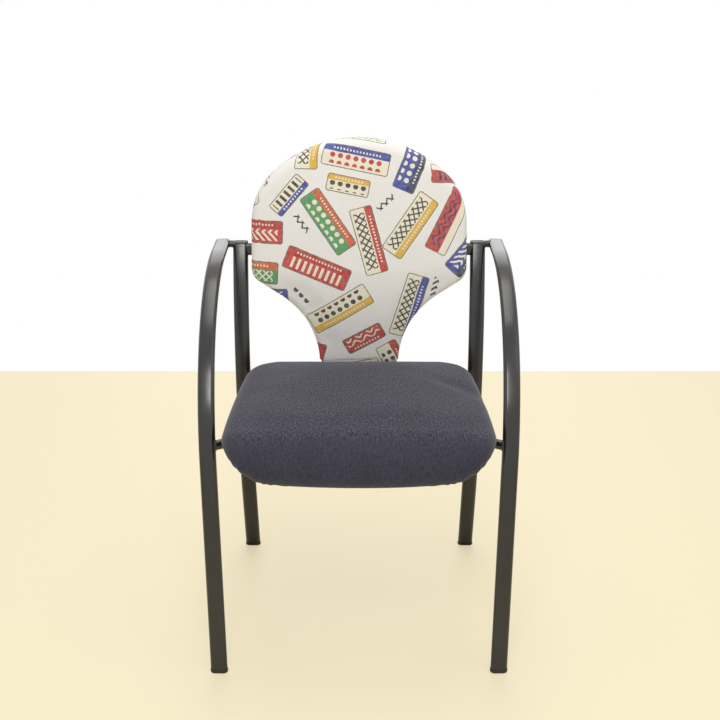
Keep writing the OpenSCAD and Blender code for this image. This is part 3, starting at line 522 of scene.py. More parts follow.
    def draw(self, add: Callable[..., bpy.types.Node]) -> bpy.types.Node:
        """Print the tags on the canvas, then let the weave and the wear show through the ink."""
        cloth = add("UVMap", uv_map="cloth")
        heights = []
        for turn in (0.0, math.pi / 2):
            laid = add("Mapping", {"Vector": cloth, "Rotation": (0.0, 0.0, turn)})
            heights.append(add("TexWave", {
                "Vector": laid, "Scale": bands(self.thread), "Distortion": 1.0,
                "Detail": 2.0, "Detail Scale": 2.0}, bands_direction="X").outputs["Fac"])
        weave = add("Math", dict(enumerate(heights)), operation="ADD")
        slub = add("TexNoise", {
            "Vector": cloth, "Scale": per_mm(self.slub), "Detail": 5.0, "Roughness": 0.65})
        under = add("Mix", {0: slub, 6: linear(self.cream), 7: linear(self.shade)}, data_type="RGBA")
        tag = add("VectorMath", {0: add("UVMap", uv_map="tag"), "Scale": 1 / MM}, operation="SCALE")
        size = add("Attribute", attribute_name="tag_size").outputs["Vector"]
        ground, band, mark = (add("Attribute", attribute_name=f"ink_{part}").outputs
                              for part in ("ground", "band", "mark"))
        outside = add("VectorMath", {0: tag}, operation="ABSOLUTE")
        for operation, other in (("SUBTRACT", size), ("ADD", (self.corner, self.corner, 0.0)),
                                 ("MAXIMUM", (0.0, 0.0, 0.0))):
            outside = add("VectorMath", {0: outside, 1: other}, operation=operation)
        values = {"marks": 0.0, "reach": add("VectorMath", {0: outside}, operation="LENGTH"),
                  "wear": add("TexNoise", {"Vector": cloth, "Scale": per_mm(self.wear), "Detail": 3.0}),
                  **dict(zip(("x", "y"), add("SeparateXYZ", {0: tag}).outputs)),
                  **dict(zip(("long", "wide", "kind"), add("SeparateXYZ", {0: size}).outputs))}
        for name, operation, *terms in self.sums:
            values[name] = add("Math", {k: values.get(term, term) for k, term in enumerate(terms)},
                               operation=operation)
        layers = {}
        for name, share, low, high in (
                ("field", "below", ground["Color"], band["Color"]),
                ("inked", "marked", "field", mark["Color"]),
                ("printed", "band_dashes", "inked", linear(self.plate)),
                ("rimmed", "inside", linear(self.rim_ink), "printed"), ("plated", "cover", under, "rimmed"),
                ("bare", "bare_marked", under, linear(self.bare_ink)),
                ("either", ground["Alpha"], "bare", "plated")):
            layers[name] = add("Mix", {0: values.get(share, share), 6: layers.get(low, low),
                                       7: layers.get(high, high)}, data_type="RGBA")
        faded = add("MapRange", {
            "Value": slub, "From Min": 0.35, "From Max": 0.75, "To Min": 0.02, "To Max": 0.2})
        aged = add("Mix", {0: faded, 6: layers["either"], 7: under}, data_type="RGBA")
        bump = add("Bump", {"Height": weave, "Strength": 0.35, "Distance": 0.25 * MM})
        return add("BsdfPrincipled", {
            "Base Color": aged, "Roughness": 0.9, "Normal": bump,
            "Specular IOR Level": 0.25, "Sheen Weight": 0.1, "Sheen Roughness": 0.5})


@dataclass(frozen=True)
class StudioPaint(Finish):
    """Even matt paint for the studio floor, which carries the chair's soft shadow.

    To the camera it glows by a good half of its colour, so that the shadow stays as light as in a
    bright room.
    """

    name: str = "studio_floor"
    slot: str = ""
    colour: str = "f9edcb"
    glow: float = 0.58

    def draw(self, add: Callable[..., bpy.types.Node]) -> bpy.types.Node:
        """Draw a plain surface with a trace of gloss."""
        paint = add("BsdfPrincipled", {
            "Base Color": linear(self.colour), "Roughness": 0.45, "Specular IOR Level": 0.3})
        shine = add("Emission", {"Color": linear(self.colour)})
        seen = add("LightPath").outputs["Is Camera Ray"]
        share = add("Math", {0: seen, 1: self.glow}, operation="MULTIPLY")
        return add("MixShader", {0: share, 1: paint, 2: shine})


COAT = PowderCoat()
END_PLASTIC = MouldedPlastic()
GLIDE_PLASTIC = MouldedPlastic("moulded_polyethylene", "glide_plastic", "161616", "202020", 1.2, 0.42)
SHELL_PLASTIC = MouldedPlastic("grained_polypropylene", "back_shell", "1b1b1d", "262628", 1.8, 0.55, 0.2)
ZINC = ZincPlate()
PLY = BirchPly()
LINER = DustLiner()
WEAVE = SeatWeave()
CANVAS = PrintedCanvas()


def read(items: bpy.types.bpy_prop_collection, name: str, width: int, kind: type = float) -> np.ndarray:
    """Read one property of all items of a mesh.

    Args:
        items: The mesh's vertices, faces or corners.
        name: The property's name.
        width: How many numbers it has.
        kind: Their type.

    Returns:
        One row of numbers for each item.
    """
    found = np.zeros(len(items) * width, kind)
    items.foreach_get(name, found)
    return found.reshape(-1, width)


def new_object(name: str, points: np.ndarray | Sequence[Vector], faces: Sequence[Sequence[int]],
               scale: float = MM) -> bpy.types.Object:
    """Make an object from points and faces, and put it into the scene.

    Args:
        name: The name of the object and its mesh.
        points: The points.
        faces: The points' numbers, face by face.
        scale: Factor that turns the points' unit into metres.

    Returns:
        The object.
    """
    data = bpy.data.meshes.new(name)
    data.from_pydata(np.array(points, float) * scale, [], faces)
    made = bpy.data.objects.new(name, data)
    bpy.context.scene.collection.objects.link(made)
    return made


@dataclass
class Mesh:
    """Points in millimetres and the faces between them, before they become a piece."""

    points: list[Vector] = field(default_factory=list)
    faces: list[tuple[int, ...]] = field(default_factory=list)

    def add(self, other: "Mesh") -> None:
        """Append another mesh to this one."""
        base = len(self.points)
        self.points += other.points
        self.faces += [tuple(base + i for i in face) for face in other.faces]

    def mirrored(self) -> "Mesh":
        """The same mesh for the other hand."""
        return Mesh([Vector((-p.x, p.y, p.z)) for p in self.points], [face[::-1] for face in self.faces])

    def handed(self, side: Side) -> "Mesh":
        """This mesh for the right hand, or its mirror image for the left."""
        return self if side is Side.RIGHT else self.mirrored()

    def piece(self, name: str, finish: Finish, sharp: float = 35.0) -> bpy.types.Object:
        """Make a piece that rides on the chair.

        Args:
            name: The piece's name.
            finish: The finish it gets.
            sharp: Edges bent by more than this many degrees stay sharp.

        Returns:
            The new object.
        """
        made = new_object(name, self.points, self.faces)
        made.data.validate()
        made.data.shade_smooth()
        made.data.set_sharp_from_angle(angle=math.radians(sharp))
        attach(made, BODY)
        return finish.dress(made)

    def tree(self) -> BVHTree:
        """A search tree over the mesh, in millimetres."""
        return BVHTree.FromPolygons(self.points, self.faces)


@dataclass(frozen=True)
class Station:
    """One stop along a tube's centreline: its place, and the section's broad and narrow directions."""

    place: Vector
    broad: Vector
    narrow: Vector

    @property
    def ahead(self) -> Vector:
        """The way the tube runs here."""
        return self.broad.cross(self.narrow)


def oval_outline(width: float, thickness: float, steps: int = 14) -> list[tuple[float, float]]:
    """Outline of a bar with half-round edges.

    Args:
        width: Its broad width; the same as the thickness for a round bar.
        thickness: Its thickness.
        steps: Steps in each half-round edge.

    Returns:
        Points round the outline, as distances along the broad and narrow directions.
    """
    radius, flat = thickness / 2, (width - thickness) / 2
    ring = []
    for side, start in ((1, -90), (-1, 90)):
        for k in range(steps + 1):
            turn = math.radians(start + 180 * k / steps)
            ring.append((side * flat + radius * math.cos(turn), radius * math.sin(turn)))
    if flat == 0:
        return [p for k, p in enumerate(ring) if k not in (steps + 1, 2 * steps + 1)]
    return ring


def swept(stations: Sequence[Station], outline: Sequence[tuple[float, float]],
          level_start: float | None = None, level_end: float | None = None) -> Mesh:
    """Sweep an outline along a centreline into a closed tube.

    Args:
        stations: The stops of the centreline.
        outline: The section.
        level_start: Height at which the first end is cut level, if it is.
        level_end: Height at which the last end is cut level, if it is.

    Returns:
        The tube, with flat ends.
    """
    mesh, count = Mesh(), len(outline)
    for k, stop in enumerate(stations):
        level = level_start if k == 0 else level_end if k == len(stations) - 1 else None
        for u, v in outline:
            point = stop.place + stop.broad * u + stop.narrow * v
            if level is not None:
                point += stop.ahead * ((level - point.z) / stop.ahead.z)
            mesh.points.append(point)
    for k in range(len(stations) - 1):
        for i in range(count):
            j = (i + 1) % count
            mesh.faces.append((k * count + i, k * count + j, (k + 1) * count + j, (k + 1) * count + i))
    last = (len(stations) - 1) * count
    mesh.faces.append(tuple(range(count - 1, -1, -1)))
    mesh.faces.append(tuple(last + i for i in range(count)))
    return mesh


def turned(x: float = 0.0, y: float = 0.0, z: float = 0.0) -> Matrix:
    """Turn about X, then Y, then Z, in degrees.

    Args:
        x: Degrees about X.
        y: Degrees about Y.
        z: Degrees about Z.

    Returns:
        The turn as a matrix.
    """
    about_x, about_y, about_z = (
        Matrix.Rotation(math.radians(a), 4, axis) for a, axis in ((x, "X"), (y, "Y"), (z, "Z")))
    return about_z @ about_y @ about_x


def quarter(steps: int, start: float = 0.0) -> list[tuple[float, float]]:
    """Cosine and sine of even turns from a start up to a quarter turn."""
    return [(math.cos(turn), math.sin(turn)) for turn in np.linspace(start, math.pi / 2, steps)]


def carried(points: np.ndarray, place: Matrix) -> np.ndarray:
    """Carry rows of points by a matrix."""
    matrix = np.array(place)
    return points @ matrix[:3, :3].T + matrix[:3, 3]


def bead(seam: Sequence[Vector], radius: float, ripple: float = 2.6, swell: float = 0.16,
         sides: int = 8) -> Mesh:
    """Lay a weld bead round a closed seam, with the overlapping ripples of a hand-held torch.

    Args:
        seam: Points of the seam.
        radius: Radius of the bead.
        ripple: Distance from one ripple to the next.
        swell: Share by which a ripple is thicker than the bead.
        sides: Sides of the bead's section.

    Returns:
        The bead.
    """
    ends = [*seam, seam[0]]
    lengths = [(q - p).length for p, q in zip(ends, ends[1:])]
    total = sum(lengths)
    steps = max(2, round(total / ripple)) * 4
    mesh, stops = Mesh(), []
    for k in range(steps):
        want, at = total * k / steps, 0
        while at < len(lengths) - 1 and want > lengths[at]:
            want -= lengths[at]
            at += 1
        ahead = (ends[at + 1] - ends[at]).normalized()
        broad = ahead.orthogonal() if k == 0 else stops[-1].broad - ahead * stops[-1].broad.dot(ahead)
        broad.normalize()
        stops.append(Station(ends[at] + ahead * want, broad, ahead.cross(broad)))
        thick = 1.0 + swell * (k % 4 / 4)
        for turn in (2 * math.pi * i / sides for i in range(sides)):
            way = broad * math.cos(turn) + stops[-1].narrow * math.sin(turn)
            mesh.points.append(stops[-1].place + way * radius * thick)
    first = (mesh.points[0] - stops[0].place).normalized()
    base = (steps - 1) * sides
    # The section has turned on its way round, so the last ring meets the first one with a shift.
    twist = min(range(sides), key=lambda i: (
        (mesh.points[base + i] - stops[-1].place).normalized() - first).length)
    for k in range(steps):
        low, high, shift = k * sides, (k + 1) % steps * sides, twist if k == steps - 1 else 0
        for i in range(sides):
            mesh.faces.append((low + (i + shift) % sides, low + (i + 1 + shift) % sides,
                               high + (i + 1) % sides, high + i))
    return mesh


def seam_on(target: BVHTree, rim: Iterable[Vector], ahead: Vector, limit: float) -> list[Vector]:
    """Follow a tube's rim along the tube until it meets another piece.

    Args:
        target: The piece that the tube is welded to.
        rim: Points round the tube, short of the target.
        ahead: The way from the rim to the target.
        limit: How far the tube runs past the rim.

    Returns:
        The line where the two meet.
    """
    line = []
    for point in rim:
        hit = target.ray_cast(point, ahead, limit)[0]
        line.append(hit if hit is not None else target.find_nearest(point + ahead * limit)[0])
    return line


@dataclass(frozen=True)
class Bend:
    """A tube that leans straight up from the floor and then bends backward, seen in its own plane.

    A place in the plane is given by how far it lies behind the tube's foot, and how high.
    """

    lean: float
    run: float
    radius: float

    @property
    def turn(self) -> float:
        """The lean in radians."""
        return math.radians(self.lean)

    @property
    def height(self) -> float:
        """Height at which the straight part ends."""
        return self.run * math.cos(self.turn)

    @property
    def centre(self) -> tuple[float, float]:
        """The middle of the bend."""
        return (self.run * math.sin(self.turn) + self.radius * math.cos(self.turn),
                self.height - self.radius * math.sin(self.turn))

    def back_at(self, height: float) -> float:
        """How far behind its foot the tube's centreline lies at a height."""
        if height < self.height:
            return height * math.tan(self.turn)
        back, middle = self.centre
        return back - math.sqrt(max(0.0, self.radius ** 2 - (height - middle) ** 2))

    def path(self, end: float, run_steps: int, bend_steps: int) -> list[tuple[float, float, float]]:
        """Follow the tube's centreline.

        Args:
            end: The turn from the vertical at which the bend ends.
            run_steps: Stops of the straight part, with the bend's first one.
            bend_steps: Stops of the bend.

        Returns:
            The place of each stop, and the turn from the vertical there.
        """
        back, middle = self.centre
        stops = [(high * math.tan(self.turn), high, self.turn)
                 for high in np.linspace(0, self.height, run_steps)[:-1]]
        return stops + [(back - self.radius * math.cos(turn), middle + self.radius * math.sin(turn), turn)
                        for turn in np.linspace(self.turn, end, bend_steps)]


@dataclass(frozen=True)
class Stance:
    """Sizes of the tube frame, in millimetres and degrees, and the places that follow from them."""

    front_span: float = 504.0
    foot_base: float = 462.0
    arch_tilt: float = 2.2
    arch_toe: float = 0.8
    rear_tilt: float = 0.7
    tube_w: float = 30.0
    tube_t: float = 15.0
    leg: Bend = Bend(12.0, 380.0, 360.0)
    arm_overhang: float = 9.0
    arm_gap: float = 6.3
    rear: Bend = Bend(-12.0, 145.0, 800.0)
    rear_top_drop: float = 3.0
    glide_h: float = 6.0
    plug_head: float = 3.0
    spacer_d: float = 14.0
    seat_tube_z: float = 405.0
    rear_tube_drop: float = 10.0
    front_tube_setback: float = 45.0
    front_tube_sweep: float = 31.0
    front_tube_bend: float = 50.0
    cross_d: float = 18.0
    bar_t: float = 12.0
    bar_drop: float = 11.0
    middle_y: float = 260.49

    def row(self, x: float, y: float, z: float) -> Vector:
        """A point given from the middle of the front feet, in the model's own frame."""
        return Vector((x, y - self.middle_y, z))

    @property
    def arm_w(self) -> float:
        """Height of the arm's centreline in the arch's plane."""
        return self.leg.centre[1] + self.leg.radius

    @property
    def arm_z(self) -> float:
        """Height of the arm's centreline above the floor."""
        return self.arm_w * math.cos(math.radians(self.arch_tilt))

    @property
    def arch_place(self) -> Matrix:
        """Carries the arch's plane to its place."""
        turn = turned(y=self.arch_tilt, z=self.arch_toe)
        return Matrix.Translation(self.row(self.front_span / 2, 0, 0)) @ turn

    def arch_at(self, z: float) -> Vector:
        """The arch's centreline at a height above the floor."""
        w = z / math.cos(math.radians(self.arch_tilt))
        return self.arch_place @ Vector((0, self.leg.back_at(w), w))

    @property
    def link_y(self) -> float:
        """How far behind the front feet the rear leg passes the arm."""
        return self.foot_base + self.rear.back_at(self.arm_z / math.cos(math.radians(self.rear_tilt)))

    @property
    def arm_x(self) -> float:
        """Distance of the arm's centreline from the middle, where it passes the rear leg."""
        tilt, toe = math.radians(self.arch_tilt), math.radians(self.arch_toe)
        return (self.front_span / 2 + self.arm_w * math.sin(tilt) * math.cos(toe)
                - self.link_y * math.sin(toe))

    @property
    def rear_foot_x(self) -> float:
        """Distance of a rear foot from the middle."""
        return self.arm_x - self.tube_w - self.arm_gap - self.arm_z * math.tan(math.radians(self.rear_tilt))

    def rear_at(self, z: float) -> Vector:
        """The rear leg's centreline at a height above the floor."""
        tilt = math.radians(self.rear_tilt)
        return self.row(self.rear_foot_x + z * math.tan(tilt),
                        self.foot_base + self.rear.back_at(z / math.cos(tilt)), z)

    @property
    def rear_top_z(self) -> float:
        """Height of the rear leg's cut end."""
        return self.arm_z + self.tube_t / 2 - self.rear_top_drop - self.plug_head

    @property
    def front_tube(self) -> Vector:
        """Middle of the front seat tube."""
        return Vector((0, self.arch_at(self.seat_tube_z).y + self.front_tube_setback, self.seat_tube_z))

    @property
    def rear_tube(self) -> Vector:
        """End of the rear seat tube's centreline, in the rear leg."""
        return self.rear_at(self.seat_tube_z - self.rear_tube_drop)

    @property
    def seat_tilt(self) -> float:
        """Backward tilt of the seat, in degrees."""
        return math.degrees(math.atan(self.rear_tube_drop / (self.rear_tube.y - self.front_tube.y)))

    @property
    def seat_place(self) -> Matrix:
        """Carries the seat's own frame to its place."""
        return Matrix.Translation(self.front_tube) @ turned(x=-self.seat_tilt)

    @property
    def bar_middle(self) -> Vector:
        """Middle of the flat bar behind the back."""
        z = self.rear_top_z - self.bar_drop
        return Vector((0, self.rear_at(z).y, z))


@dataclass
class TubeFrame:
    """The welded frame: two side arches, two rear legs and the tubes between them."""

    stance: Stance
    bend_step: float = 1.5
    leg_steps: int = 12
    foot_steps: int = 6
    bow_steps: int = 40
    straight_steps: int = 9
    weld_radius: float = 1.9
    spacer_weld_radius: float = 1.3
    arches: dict[Side, Mesh] = field(default_factory=dict)
    rears: dict[Side, Mesh] = field(default_factory=dict)

    def bent_tube(self, place: Matrix, path: Iterable[tuple[float, float, float]],
                  level_end: float | None = None) -> Mesh:
        """Sweep a flat-oval tube that is bent in one plane, and stand it on its glide.

        Args:
            place: Carries the plane to its place.
            path: Stops in the plane: how far back, how high, and the turn from the vertical.
            level_end: Height at which the last end is cut level, if it is.

        Returns:
            The tube.
        """
        s, turned_to = self.stance, place.to_3x3()
        stops = [Station(place @ Vector((0, v, w)), turned_to @ Vector((1, 0, 0)),
                         turned_to @ Vector((0, math.cos(turn), -math.sin(turn)))) for v, w, turn in path]
        return swept(stops, oval_outline(s.tube_w, s.tube_t), s.glide_h, level_end)

    def arch(self) -> Mesh:
        """Sweep the right side arch: leg, bend and arm."""
        s, bend_v = self.stance, self.stance.leg.centre[0]
        path = s.leg.path(math.pi / 2, self.leg_steps, math.ceil((90 - s.leg.lean) / self.bend_step) + 1)
        arm_run = s.link_y + s.arm_overhang - bend_v * math.cos(math.radians(s.arch_toe))
        path += [(bend_v + arm_run * share, s.arm_w, math.pi / 2) for share in (0.5, 1.0)]
        return self.bent_tube(s.arch_place, path)

    def rear_leg(self) -> Mesh:
        """Sweep the right rear leg: straight foot and bowed upper part."""
        s = self.stance
        place = Matrix.Translation(s.row(s.rear_foot_x, s.foot_base, 0)) @ turned(y=s.rear_tilt)
        top = math.asin((s.rear_top_z - s.rear.centre[1]) / s.rear.radius)
        return self.bent_tube(place, s.rear.path(top, self.foot_steps, self.bow_steps), s.rear_top_z)

    def front_seat_tube(self) -> tuple[Mesh, list[Station]]:
        """Sweep the front seat tube with its two swept ends."""
        s = self.stance
        sweep = math.radians(s.front_tube_sweep)
        end = s.arch_at(s.seat_tube_z)
        corner = end.x - s.front_tube_setback / math.tan(sweep)
        bend_len = s.front_tube_bend * math.tan(sweep / 2)
        middle = corner - bend_len
        right = []
        for turn in np.linspace(0, sweep, self.leg_steps):
            place = s.front_tube + Vector((middle + s.front_tube_bend * math.sin(turn),
                                           s.front_tube_bend * (math.cos(turn) - 1), 0))
            right.append(Station(place, Vector((math.sin(turn), math.cos(turn), 0)), UP))
        last = right[-1]
        reach = (end.x - s.tube_w / 2 + s.tube_t / 4 - last.place.x) / last.ahead.x
        right.append(Station(last.place + last.ahead * reach, last.broad, UP))
        left = [Station(Vector((-t.place.x, t.place.y, t.place.z)), Vector((-t.broad.x, t.broad.y, 0)), UP)
                for t in reversed(right)]
        return swept(left + right, oval_outline(s.cross_d, s.cross_d)), left + right

    def rear_seat_tube(self) -> Mesh:
        """Sweep the rear seat tube, straight across the chair."""
        s = self.stance
        end = s.rear_tube.x - s.tube_w / 2 + s.tube_t / 4
        stops = [Station(Vector((x, *s.rear_tube.yz)), UP, Vector((0, -1, 0)))
                 for x in np.linspace(-end, end, self.straight_steps)]
        return swept(stops, oval_outline(s.cross_d, s.cross_d))

    def build(self) -> None:
        """Build the tubes, then weld them."""
        for side in Side:
            self.arches[side] = self.arch().handed(side)
            self.rears[side] = self.rear_leg().handed(side)
            for mesh, node in ((self.arches[side], f"{side.word}_arm_leg"),
                               (self.rears[side], f"{side.word}_rear_leg")):
                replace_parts(mesh.piece(f"{node}_tube", COAT), node)
        front, stops = self.front_seat_tube()
        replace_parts(front.piece("front_seat_tube_bent", COAT), "front_seat_tube")
        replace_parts(self.rear_seat_tube().piece("rear_seat_tube_straight", COAT), "rear_seat_tube")
        LOG.info("tubes built")
        self.weld(stops)

    def weld(self, front_stops: Sequence[Station]) -> None:
        """Lay the beads that join the tubes.

        Args:
            front_stops: The centreline of the front seat tube.
        """
        s, back = self.stance, Vector((0, 1, 0))
        for side in Side:
            arch, rear = self.arches[side].tree(), self.rears[side].tree()
            last = front_stops[-1 if side is Side.RIGHT else 0]
            ahead, across = last.ahead * side.value, Vector((side.value, 0, 0))
            tube_end = Vector((s.rear_tube.x * side.value, *s.rear_tube.yz))
            link = s.row(s.arm_x - s.tube_w / 2 - s.arm_gap / 2, s.link_y, s.arm_z)
            link.x *= side.value
            beads = Mesh()
            for target, start, broad, narrow, way, limit, size, radius in (
                    (arch, last.place - ahead * s.tube_w / 2, last.broad, last.narrow, ahead, s.tube_w / 2,
                     s.cross_d, self.weld_radius),
                    (rear, tube_end - across * s.tube_w, back, UP, across, s.tube_w / 2 + s.tube_t / 4,
                     s.cross_d, self.weld_radius),
                    (arch, link, back, UP, across, s.arm_gap, s.spacer_d, self.spacer_weld_radius),
                    (rear, link, back, UP, -across, s.arm_gap, s.spacer_d, self.spacer_weld_radius)):
                rim = [start + broad * u + narrow * v for u, v in oval_outline(size, size)]
                beads.add(bead(seam_on(target, rim, way, limit), radius))
            beads.piece(f"{side.word}_weld_beads", COAT, 60.0)
        LOG.info("weld beads laid")


@dataclass(frozen=True)
class Arc:
    """One arc of an outline, bulging outward, or curving inward where it is a hollow."""

    centre: tuple[float, float]
    radius: float
    start: float
    end: float
    hollow: bool = False

    def trace(self, step: float = 0.4) -> tuple[np.ndarray, np.ndarray]:
        """Follow the arc.

        Args:
            step: Rough distance from point to point.

        Returns:
            Its points and their outward directions.
        """
        length = math.radians(abs(self.end - self.start)) * self.radius
        turns = np.radians(np.linspace(self.start, self.end, max(3, round(length / step))))
        ways = np.stack([np.cos(turns), np.sin(turns)], axis=1)
        return np.array(self.centre) + self.radius * ways, -ways if self.hollow else ways


@dataclass
class Outline:
    """A closed outline, the same on both hands, sampled so that a four-sided grid fits inside it.

    The arcs run up the right half, from the front middle to the rear middle, and straight lines join them.
    The grid's corners are the middles of two of the arcs.
    """

    arcs: Sequence[Arc]
    corners: tuple[int, int]
    across: int
    along: int
    points: np.ndarray = field(init=False)
    normals: np.ndarray = field(init=False)

    def __post_init__(self) -> None:
        """Sample the outline, starting at the grid's front left corner."""
        traces = [arc.trace() for arc in self.arcs]
        points = np.concatenate([[(0.0, traces[0][0][0][1])], *[t[0] for t in traces],
                                 [(0.0, traces[-1][0][-1][1])]])
        normals = np.concatenate([traces[0][1][:1], *[t[1] for t in traces], traces[-1][1][-1:]])
        gone = np.concatenate([[0.0], np.cumsum(np.linalg.norm(np.diff(points, axis=0), axis=1))])
        ends = 1 + np.cumsum([len(t[0]) for t in traces])
        marks = [gone[ends[k] - len(traces[k][0]) // 2] for k in self.corners]
        half = self.across // 2 + 1
        stops = np.concatenate([np.linspace(0, marks[0], half), np.linspace(*marks, self.along + 1)[1:],
                                np.linspace(marks[1], gone[-1], half)[1:]])
        loops = []
        for values in (points, normals):
            right = np.stack([np.interp(stops, gone, values[:, k]) for k in (0, 1)], axis=1)
            loops.append(np.roll(np.concatenate([right, (right * (-1, 1))[-2:0:-1]]), half - 1, axis=0))
        self.points = loops[0]
        self.normals = loops[1] / np.linalg.norm(loops[1], axis=1, keepdims=True)

    def drawn_in(self, inset: float | np.ndarray) -> np.ndarray:
        """The outline's points, drawn in by one inset or by one for each point."""
        return self.points - self.normals * np.reshape(inset, (-1, 1))

    def filled(self, loop: np.ndarray) -> np.ndarray:
        """Span a grid inside a loop of points.

        Args:
            loop: One point for each point of the outline.

        Returns:
            Rows of points, front row first, each from left to right.
        """
        a, b = self.across, self.along
        front, right = loop[:a + 1], loop[a:a + b + 1]
        rear = loop[a + b:2 * a + b + 1][::-1]
        left = np.concatenate([loop[2 * a + b:], loop[:1]])[::-1]
        u = np.linspace(0, 1, a + 1)[None, :, None]
        v = np.linspace(0, 1, b + 1)[:, None, None]
        edges = (1 - v) * front[None] + v * rear[None] + (1 - u) * left[:, None] + u * right[:, None]
        corners = ((1 - u) * (1 - v) * front[0] + u * (1 - v) * front[-1]
                   + (1 - u) * v * rear[0] + u * v * rear[-1])
        return edges - corners

    def shares(self) -> tuple[np.ndarray, np.ndarray]:
        """Each grid point's place across and along, from -1 to 1."""
        return np.meshgrid(np.linspace(-1, 1, self.across + 1), np.linspace(-1, 1, self.along + 1))

    def grid_index(self, ring: int, base: int) -> np.ndarray:
        """Number the grid's points.

        Args:
            ring: Number of the first point of the ring that borders the grid.
            base: Number of the grid's first inner point.

        Returns:
            The number of each grid point, row by row.
        """
        a, b = self.across, self.along
        index = np.zeros((b + 1, a + 1), int)
        index[1:-1, 1:-1] = base + np.arange((a - 1) * (b - 1)).reshape(b - 1, a - 1)
        index[0] = ring + np.arange(a + 1)
        index[:, -1] = ring + a + np.arange(b + 1)
        index[-1, ::-1] = ring + a + b + np.arange(a + 1)
        index[1:, 0] = (ring + 2 * a + b + np.arange(b))[::-1]
        return index


def quads(index: np.ndarray) -> list[tuple[int, ...]]:
    """Faces between the neighbours of a numbered grid."""
    return [tuple(face) for face in np.stack([index[:-1, :-1], index[:-1, 1:], index[1:, 1:], index[1:, :-1]],
                                             axis=-1).reshape(-1, 4).tolist()]


def smooth_step(share: np.ndarray | float) -> np.ndarray | float:
    """Ease a share from 0 to 1, level at both ends."""
    share = np.clip(share, 0, 1)
    return share * share * (3 - 2 * share)


@dataclass
class Skin:
    """A padded form's outer skin: rings round its edge, then the grid inside the last ring.

    Each point has its place in millimetres and its place on the cloth before the cloth was bent.
    """

    outline: Outline
    rings: list[np.ndarray]
    ring_cloth: list[np.ndarray]
    grid: np.ndarray
    grid_cloth: np.ndarray
    held: int
    frames: int = 20
    edge_give: float = 0.35

    @property
    def points(self) -> np.ndarray:
        """All points, rings first."""
        return np.concatenate([*self.rings, self.grid[1:-1, 1:-1].reshape(-1, 3)])

    @property
    def cloth(self) -> np.ndarray:
        """Where each point lies on the flat cloth."""
        return np.concatenate([*self.ring_cloth, self.grid_cloth[1:-1, 1:-1].reshape(-1, 2)])

    @property
    def faces(self) -> list[tuple[int, ...]]:
        """The skin's faces."""
        count, rings = len(self.outline.points), len(self.rings)
        numbers = np.arange(rings * count).reshape(rings, count)
        wrapped = np.concatenate([numbers, numbers[:, :1]], axis=1)
        return quads(wrapped) + quads(self.outline.grid_index(numbers[-1, 0], rings * count))

    def eased(self, points: np.ndarray, rounds: int) -> np.ndarray:
        """Smooth the skin, all but its hem.

        Args:
            points: The skin's points.
            rounds: How often each point moves half-way to its neighbours' middle.

        Returns:
            The smoothed points.
        """
        corners = np.array(self.faces)
        ends = np.concatenate([corners[:, [k, (k + 1) % 4]] for k in range(4)])
        ends = np.concatenate([ends, ends[:, ::-1]])
        count = np.bincount(ends[:, 0], minlength=len(points))[:, None]
        free = (np.arange(len(points)) >= self.held * len(self.outline.points))[:, None]
        for _ in range(rounds):
            sums = [np.bincount(ends[:, 0], points[ends[:, 1], k], len(points)) for k in range(3)]
            points = np.where(free, (points + np.stack(sums, axis=1) / count) / 2, points)
        return points

    def reach(self) -> np.ndarray:
        """How freely each point may swell: not at all at the hem, and fully in the middle."""
        across, along = self.outline.shares()
        middle = smooth_step(1.4 * (1 - across ** 2) * (1 - along ** 2))[1:-1, 1:-1].ravel()
        edge = np.linspace(0, 1, len(self.rings) - self.held)[:, None] * np.ones(len(self.outline.points))
        return np.concatenate([np.zeros(self.held * len(self.outline.points)), self.edge_give * edge.ravel(),
                               self.edge_give + (1 - self.edge_give) * middle])

    def swell(self, pressure: float, cap: float) -> np.ndarray:
        """Blow the skin up as cloth that is held at its hem.

        Args:
            pressure: Pressure from the inside.
            cap: The furthest that the middle may move, in millimetres.

        Returns:
            The points after the simulation, in millimetres.
        """
        start = self.points
        cushion = new_object("swelling", start, self.faces)
        pins = cushion.vertex_groups.new(name="hem")
        pins.add(list(range(self.held * len(self.outline.points))), 1.0, "REPLACE")
        cloth = cushion.modifiers.new("cloth", "CLOTH")
        for name, value in {
                "quality": 6, "mass": 0.3, "tension_stiffness": 30, "compression_stiffness": 30,
                "shear_stiffness": 10, "bending_stiffness": 1.0, "use_pressure": True,
                "uniform_pressure_force": pressure, "vertex_group_mass": pins.name}.items():
            setattr(cloth.settings, name, value)
        cloth.settings.effector_weights.gravity = 0
        cloth.collision_settings.use_collision = False
        cloth.point_cache.frame_start, cloth.point_cache.frame_end = 1, self.frames
        for number in range(1, self.frames + 1):
            bpy.context.scene.frame_set(number)
        blown = cushion.evaluated_get(bpy.context.evaluated_depsgraph_get()).data
        moved = read(blown.vertices, "co", 3) / MM - start
        bpy.data.meshes.remove(cushion.data)
        bpy.context.scene.frame_set(1)
        far = np.linalg.norm(moved, axis=1, keepdims=True)
        return start + moved * np.minimum(1.0, cap * self.reach()[:, None] / np.maximum(far, 1e-9))


